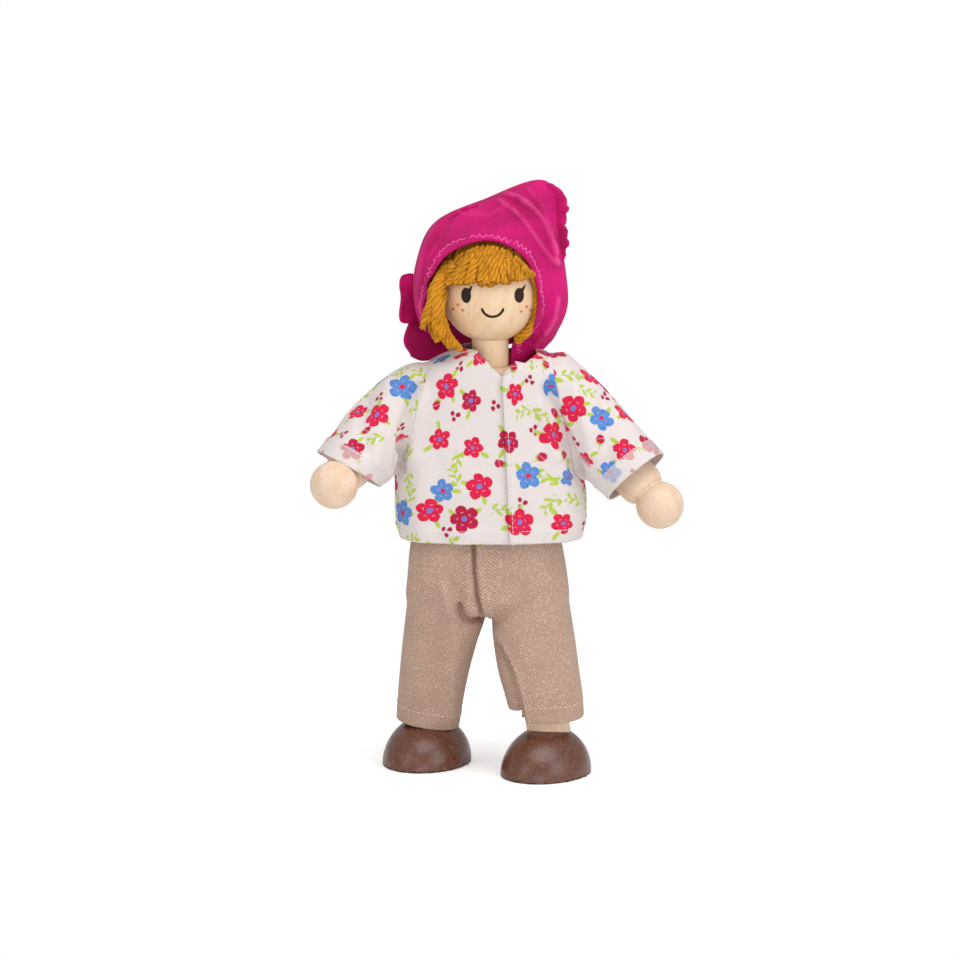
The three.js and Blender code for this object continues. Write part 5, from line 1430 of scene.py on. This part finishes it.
jersey = knit_jersey("magenta_jersey")
hood_net = net_between([
    [(-15.2, -4, 105), (-15.6, -5.8, 110), (-13.7, -7.2, 117.4), (-9.4, -7.9, 122.9), (-0.7, -8.2, 125.8),
     (7.1, -8.0, 122.3), (10.8, -7.6, 115.8), (11.1, -6.9, 109.4), (9.9, -4.9, 104.4), (5.7, -1.2, 101.0),
     (4.7, 0.4, 95.0)],
    [(-15.7, 2, 103.5), (-17.6, 1.5, 110), (-17.2, 1, 118.5), (-13.2, 0.5, 127.2), (-2.8, 0.5, 132),
     (12.8, 1, 136.8), (15.6, 0.5, 124.2), (17.8, 1, 110.4), (15.4, 3.3, 102.4), (12.8, 3.8, 99.0),
     (10.0, 4.2, 96.2)],
    [(-11.6, 9.6, 99.6), (-15.7, 9.5, 108.5), (-15.2, 9.5, 118), (-11.7, 9.5, 127), (-1.2, 10.5, 132),
     (10.8, 8.5, 135), (15.3, 9, 124), (15.8, 8.5, 109.5), (12.8, 9.9, 103.4), (11.2, 10.5, 101.3),
     (9.6, 11.0, 99.4)],
    [(-6.4, 13.4, 97.8), (-8.7, 15, 106), (-9.2, 15.5, 113), (-7.2, 16, 119), (-0.7, 17, 122),
     (5.8, 16, 122), (8.3, 15.5, 116), (8.6, 14.8, 107.5), (7.7, 14.3, 102.8), (6.9, 13.9, 100.7),
     (5.8, 13.4, 98.8)],
    [(0.3, 14.8, 96.6), (0.3, 16.6, 101), (0.3, 17.7, 104.5), (0.2, 18.4, 107.5), (0.0, 18.8, 109.5),
     (-0.6, 19.1, 109.5), (-0.8, 18.9, 107.5), (-0.9, 18.3, 104.5), (-0.9, 17.3, 101.2), (-0.9, 16.3, 98.9),
     (-0.9, 15.4, 96.8)],
], 26, 26)
hood = net_mesh("hood_jersey", hood_net, jersey)
with edited(hood) as work:
    middle = Vector(at((0, 2, HEAD_Z)))
    outward = sum((f.normal.dot(f.calc_center_median() - middle) > 0) for f in work.faces)
    if outward < len(work.faces) / 2:
        bmesh.ops.reverse_faces(work, faces=work.faces)
hood_ridges = press_folds(hood, [
    ([(1.6, 133.3), (4.8, 132.2), (7.4, 130.3), (9.4, 128.4), (10.8, 126.2), (12.1, 122.4),
      (13.4, 117.4)], 0.5, 1.0),
    ([(0.4, 131.6), (3.9, 128.9), (6.2, 126.4), (8.4, 123.2), (11.0, 119.6), (13.2, 117.0)], 0.5, 0.85),
    ([(6.9, 134.4), (10.2, 130.0), (12.0, 125.4), (13.2, 119.6)], 0.45, 0.7),
    ([(3.6, 131.2), (7.4, 127.6), (10.2, 123.2), (12.4, 119.0)], 0.8, -0.35),
    ([(8.6, 131.6), (11.0, 127.4), (12.4, 122.4)], 0.7, -0.35),
    ([(4.0, 131.2), (1.5, 128.4), (-1.5, 126.8)], 0.8, -0.5),
    ([(13.6, 109), (12.8, 105), (10.6, 101.5)], 0.5, 0.7),
    ([(12.6, 110), (11.8, 105), (9.6, 101.8)], 0.7, -0.8),
    ([(-6.5, 131.0), (-11.0, 128.0), (-14.6, 122.5)], 0.7, -0.6),
    ([(-13.4, 124), (-15.6, 118), (-16.6, 112)], 0.45, 0.7),
    ([(-14.0, 127), (-17.2, 120), (-18.4, 111)], 0.9, 0.45),
    ([(-11.5, 127.5), (-15.5, 119.5), (-17.0, 110)], 0.9, -0.4),
    ([(-8.0, 128.5), (-2.0, 128.0), (6.0, 131.0)], 1.1, 0.35),
    ([(-8.0, 126.0), (-1.0, 125.6), (5.0, 126.6)], 0.8, -0.25),
    ([(13.2, 110), (12.0, 103), (8.5, 98.5)], 1.1, 0.45),
    ([(11.6, 108), (10.6, 103), (7.5, 99.5)], 0.8, -0.35),
])
press_folds(hood, [
    ([(0, 100), (-6, 112), (-11, 124)], 1.2, 0.8),
    ([(0.5, 100), (-2, 114), (-3, 128)], 1.1, -0.6),
    ([(1, 100), (3, 114), (5, 130)], 1.2, 0.8),
    ([(1.5, 100), (7, 110), (11, 122)], 1.1, -0.6),
    ([(2, 99), (9, 104), (14, 110)], 1.2, 0.7),
    ([(-2, 99), (-9, 105), (-14, 111)], 1.2, 0.7),
], facing=1)
hood_places, hood_normals = [values.reshape(hood_net.shape) for values in cloth_points(hood)]
thicken(hood, JERSEY_THICK)
ridges = np.zeros(len(hood.data.vertices))
ridges[:len(hood_ridges)] = hood_ridges
# the height of each fold's crest, which the jersey paints paler as a painted highlight
tell(hood, "ridge_mm", ridges)
give(hood, "head", "jersey", "kerchief_hood")

# the zigzag that holds the turned edge round the face, in a lighter thread
ZIGZAG_FROM_ENDS = 14
zigzag = []
for k, column in enumerate(range(ZIGZAG_FROM_ENDS, hood_net.shape[1] - ZIGZAG_FROM_ENDS, 2)):
    # each point lies this far from the edge, in mm along the cloth
    from_edge = 1.0 + 0.95 * (k % 2) + 0.35 * math.sin(0.23 * k) + chance.uniform(-0.35, 0.35)
    line = hood_places[:20, column]
    spot = np.array([np.interp(from_edge, run_length(line), line[:, axis]) for axis in range(3)])
    zigzag.append(spot + hood_normals[4, column] * chance.uniform(-0.12, 0.06))
give(grown("face_edge_zigzag", [zigzag], yarn_tree, {
    "Yarn Radius": 0.00012, "Twist Pitch": 0.0009, "Step": 0.00022,
    "Yarn": sewing_thread("pink_thread", "#e6549f")}), "head", "jersey")

# the rippled edge of the second layer that stands out behind the point, as the camera sees it
hem_edge = smooth_levels([
    (-11.0, 127.5), (-9.2, 128.9), (-7.2, 130.0), (-5.2, 130.3), (-3.0, 130.6), (0, 131.2), (5, 132.9),
    (9.6, 135.0), (12.9, 134.9), (15.1, 132.6), (15.8, 129.8), (15.2, 126.4), (15.9, 122.8), (15.1, 119.0),
    (13.8, 116.6)], 10)
flap = []
for i, edge_spot in enumerate(hem_edge):
    ahead = hem_edge[min(len(hem_edge) - 1, i + 1)] - hem_edge[max(0, i - 1)]
    ahead /= np.linalg.norm(ahead)
    inward = np.array([ahead[1], -ahead[0]])
    calm = 1 - 0.8 * math.exp(-((i - 82) / 14) ** 2) - 0.7 * math.exp(-((i - 12) / 20) ** 2)
    for t in np.linspace(0, 1, 9):
        across, up = edge_spot + inward * (5.0 * (1 - t) - 0.2) - inward * t * calm * (
            0.55 * abs(math.sin(i * 0.42 + 0.4)) + 0.05 * math.sin(i * 2.3) - 0.3)
        y = 2.6 - 1.6 * t + t ** 2 * (0.4 * math.sin(i * 0.55) + 0.12 * math.sin(i * 1.7 + 1))
        flap.append((across - SPINE[0], y, (up - y * math.sin(CAMERA_RISE)) / math.cos(CAMERA_RISE)))
hem_flap = net_mesh("rippled_edge_jersey", np.array(flap).reshape(len(hem_edge), 9, 3), jersey)
thicken(hem_flap, HEM_THICK)
give(hem_flap, "head", "jersey", "kerchief_hood")

KNOT_HALF, KNOT_MIDDLE = (2.75, 2.25, 2.9), (-12.8, 15.2, 104.6)
knot_net = []
for fall in np.linspace(0, math.pi, 25):
    for way in np.linspace(0, 2 * math.pi, 49):
        reach = (1 + 0.10 * math.sin(3 * way + 4 * fall) * math.sin(fall)) * math.sin(fall)
        ball = (reach * math.cos(way), reach * math.sin(way), math.cos(fall))
        knot_net.append(np.array(KNOT_MIDDLE) + np.array(KNOT_HALF) * ball)
knot = net_mesh("knot_jersey", np.array(knot_net).reshape(25, 49, 3), jersey)
with edited(knot) as work:
    bmesh.ops.remove_doubles(work, verts=work.verts, dist=1e-6)
    bmesh.ops.recalc_face_normals(work, faces=work.faces)
give(knot, "head", "jersey", "kerchief_knot")

LOOP = [
    [(-14.0, 9.8, 108.6), (-17.2, 7.0, 115.2), (-19.6, 5.6, 115.8), (-20.4, 4.6, 114.8)],
    [(-15.0, 9.8, 106.8), (-17.8, 6.8, 110.2), (-19.8, 5.2, 110.2), (-20.9, 4.4, 110.2)],
    [(-15.6, 9.8, 104.6), (-18.0, 6.9, 104.6), (-19.6, 5.4, 104.4), (-20.5, 4.6, 105.0)]]
TAIL = [
    [(-18.8, 6.4, 105.0), (-16.4, 9.8, 104.4), (-11.6, 14.6, 103.0), (-6.4, 15.6, 101.4)],
    [(-19.6, 5.0, 99.9), (-16.6, 7.8, 99.2), (-11.8, 12.8, 98.8), (-8.2, 13.6, 97.8)],
    [(-18.4, 5.2, 96.6), (-16.0, 7.4, 95.3), (-12.6, 10.4, 95.4), (-9.2, 12.6, 96.2)]]
for name, rows, shift, flat, area, held, others in (
        ("loop", LOOP, 1, (0.0115, 0.010), 0.000092, "folded", []),
        ("tail", TAIL, 2, (0.0145, 0.012), 0.000142, "hung", [knot])):
    net = net_between(rows, 14, 14)
    along = np.linspace(0, 1, net.shape[0])[:, None]
    across = np.linspace(0, 1, net.shape[1])[None, :]
    net[:, :, 1] += 0.45 * np.sin(along * 9 + across * 2 + shift) * across
    net[:, :, 0] += 0.3 * np.sin(along * 7 - across * 3 + shift)
    part = net_mesh(f"{name}_jersey", net, jersey)
    part.modifiers.new("two_sides", "SOLIDIFY").thickness = JERSEY_THICK * MM
    part.modifiers["two_sides"].offset = 0
    settle(part)
    give(part, "head", "jersey", f"kerchief_{name}")

# Studio: a plain white floor, soft light from large sheets overhead and at both sides, and a camera a little
# above the figure's middle. Straight to the camera the floor and backdrop read as white paper.
WHITE = (1, 1, 1, 1)


def plain_white():
    """White paper: pure white where nothing shades it, and a soft grey contact shadow."""
    made = bpy.data.materials.new("white_paper")
    made.use_nodes = True
    tree = made.node_tree
    tree.nodes.clear()
    path = add_node(tree, "ShaderNodeLightPath")
    paper = add_node(tree, "ShaderNodeBsdfDiffuse", {"Color": (0.9, 0.9, 0.9, 1)}).outputs["BSDF"]
    glow, backdrop_white = [add_node(tree, "ShaderNodeEmission", {
        "Color": WHITE, "Strength": strength}).outputs["Emission"] for strength in (0.36, 1.0)]
    lit = add_node(tree, "ShaderNodeAddShader", {0: paper, 1: glow})
    # beyond the figure's shadow the paper runs into the white backdrop
    away = add_node(tree, "ShaderNodeMapRange", {
        "Value": length(tree, "LENGTH", object_place(tree)), "From Min": 0.06, "From Max": 0.17},
        interpolation_type="SMOOTHSTEP")
    faded = add_node(tree, "ShaderNodeMixShader", {
        "Fac": away.outputs["Result"], 1: lit.outputs["Shader"], 2: backdrop_white})
    mixed = add_node(tree, "ShaderNodeMixShader", {
        "Fac": path.outputs["Is Camera Ray"], 1: paper, 2: faded.outputs["Shader"]})
    add_node(tree, "ShaderNodeOutputMaterial", {"Surface": mixed.outputs["Shader"]})
    return made


LOOK_AT = Vector((-4.14, 1.5, 68.5)) * MM
FLOOR_HALF = 4000
corners = [(x * FLOOR_HALF, y * FLOOR_HALF, 0) for x, y in ((-1, -1), (1, -1), (1, 1), (-1, 1))]
floor = new_mesh("paper_floor", corners, [(0, 1, 2, 3)], plain_white())

world = bpy.data.worlds.new("white_room")
world.use_nodes = True
tree = world.node_tree
tree.nodes.clear()
path = add_node(tree, "ShaderNodeLightPath")
ambient, backdrop = [add_node(tree, "ShaderNodeBackground", {
    "Color": WHITE, "Strength": strength}).outputs["Background"] for strength in (0.45, 1.0)]
seen = add_node(tree, "ShaderNodeMixShader", {"Fac": path.outputs["Is Camera Ray"], 1: ambient, 2: backdrop})
add_node(tree, "ShaderNodeOutputWorld", {"Surface": seen.outputs["Shader"]})
bpy.context.scene.world = world


def soft_light(name, place, size, power):
    """A large square area light, `size` metres wide, that looks at the figure."""
    data = bpy.data.lights.new(name, "AREA")
    data.shape = "SQUARE"
    data.size = size
    data.energy = power
    obj = new_object(name, data)
    obj.location = place
    obj.rotation_euler = (LOOK_AT - Vector(place)).to_track_quat("-Z", "Y").to_euler()


soft_light("overhead_sheet", (0.1, -0.25, 1.0), 0.9, 6.0)
soft_light("left_sheet", (-0.8, -0.7, 0.5), 0.7, 1.7)
soft_light("right_sheet", (0.8, -0.6, 0.45), 0.7, 2.6)
soft_light("low_front_sheet", (0.1, -1.1, 0.04), 0.5, 2.1)

CAMERA_FAR = 1.2
camera_data = bpy.data.cameras.new("camera")
camera_data.lens = 194.1
camera_data.sensor_width = 36
camera = new_object("camera", camera_data)
camera.location = LOOK_AT + Vector((0, -math.cos(CAMERA_RISE), math.sin(CAMERA_RISE))) * CAMERA_FAR
camera.rotation_euler = (LOOK_AT - camera.location).to_track_quat("-Z", "Y").to_euler()
bpy.context.scene.camera = camera
bpy.context.scene.view_settings.view_transform = "Standard"
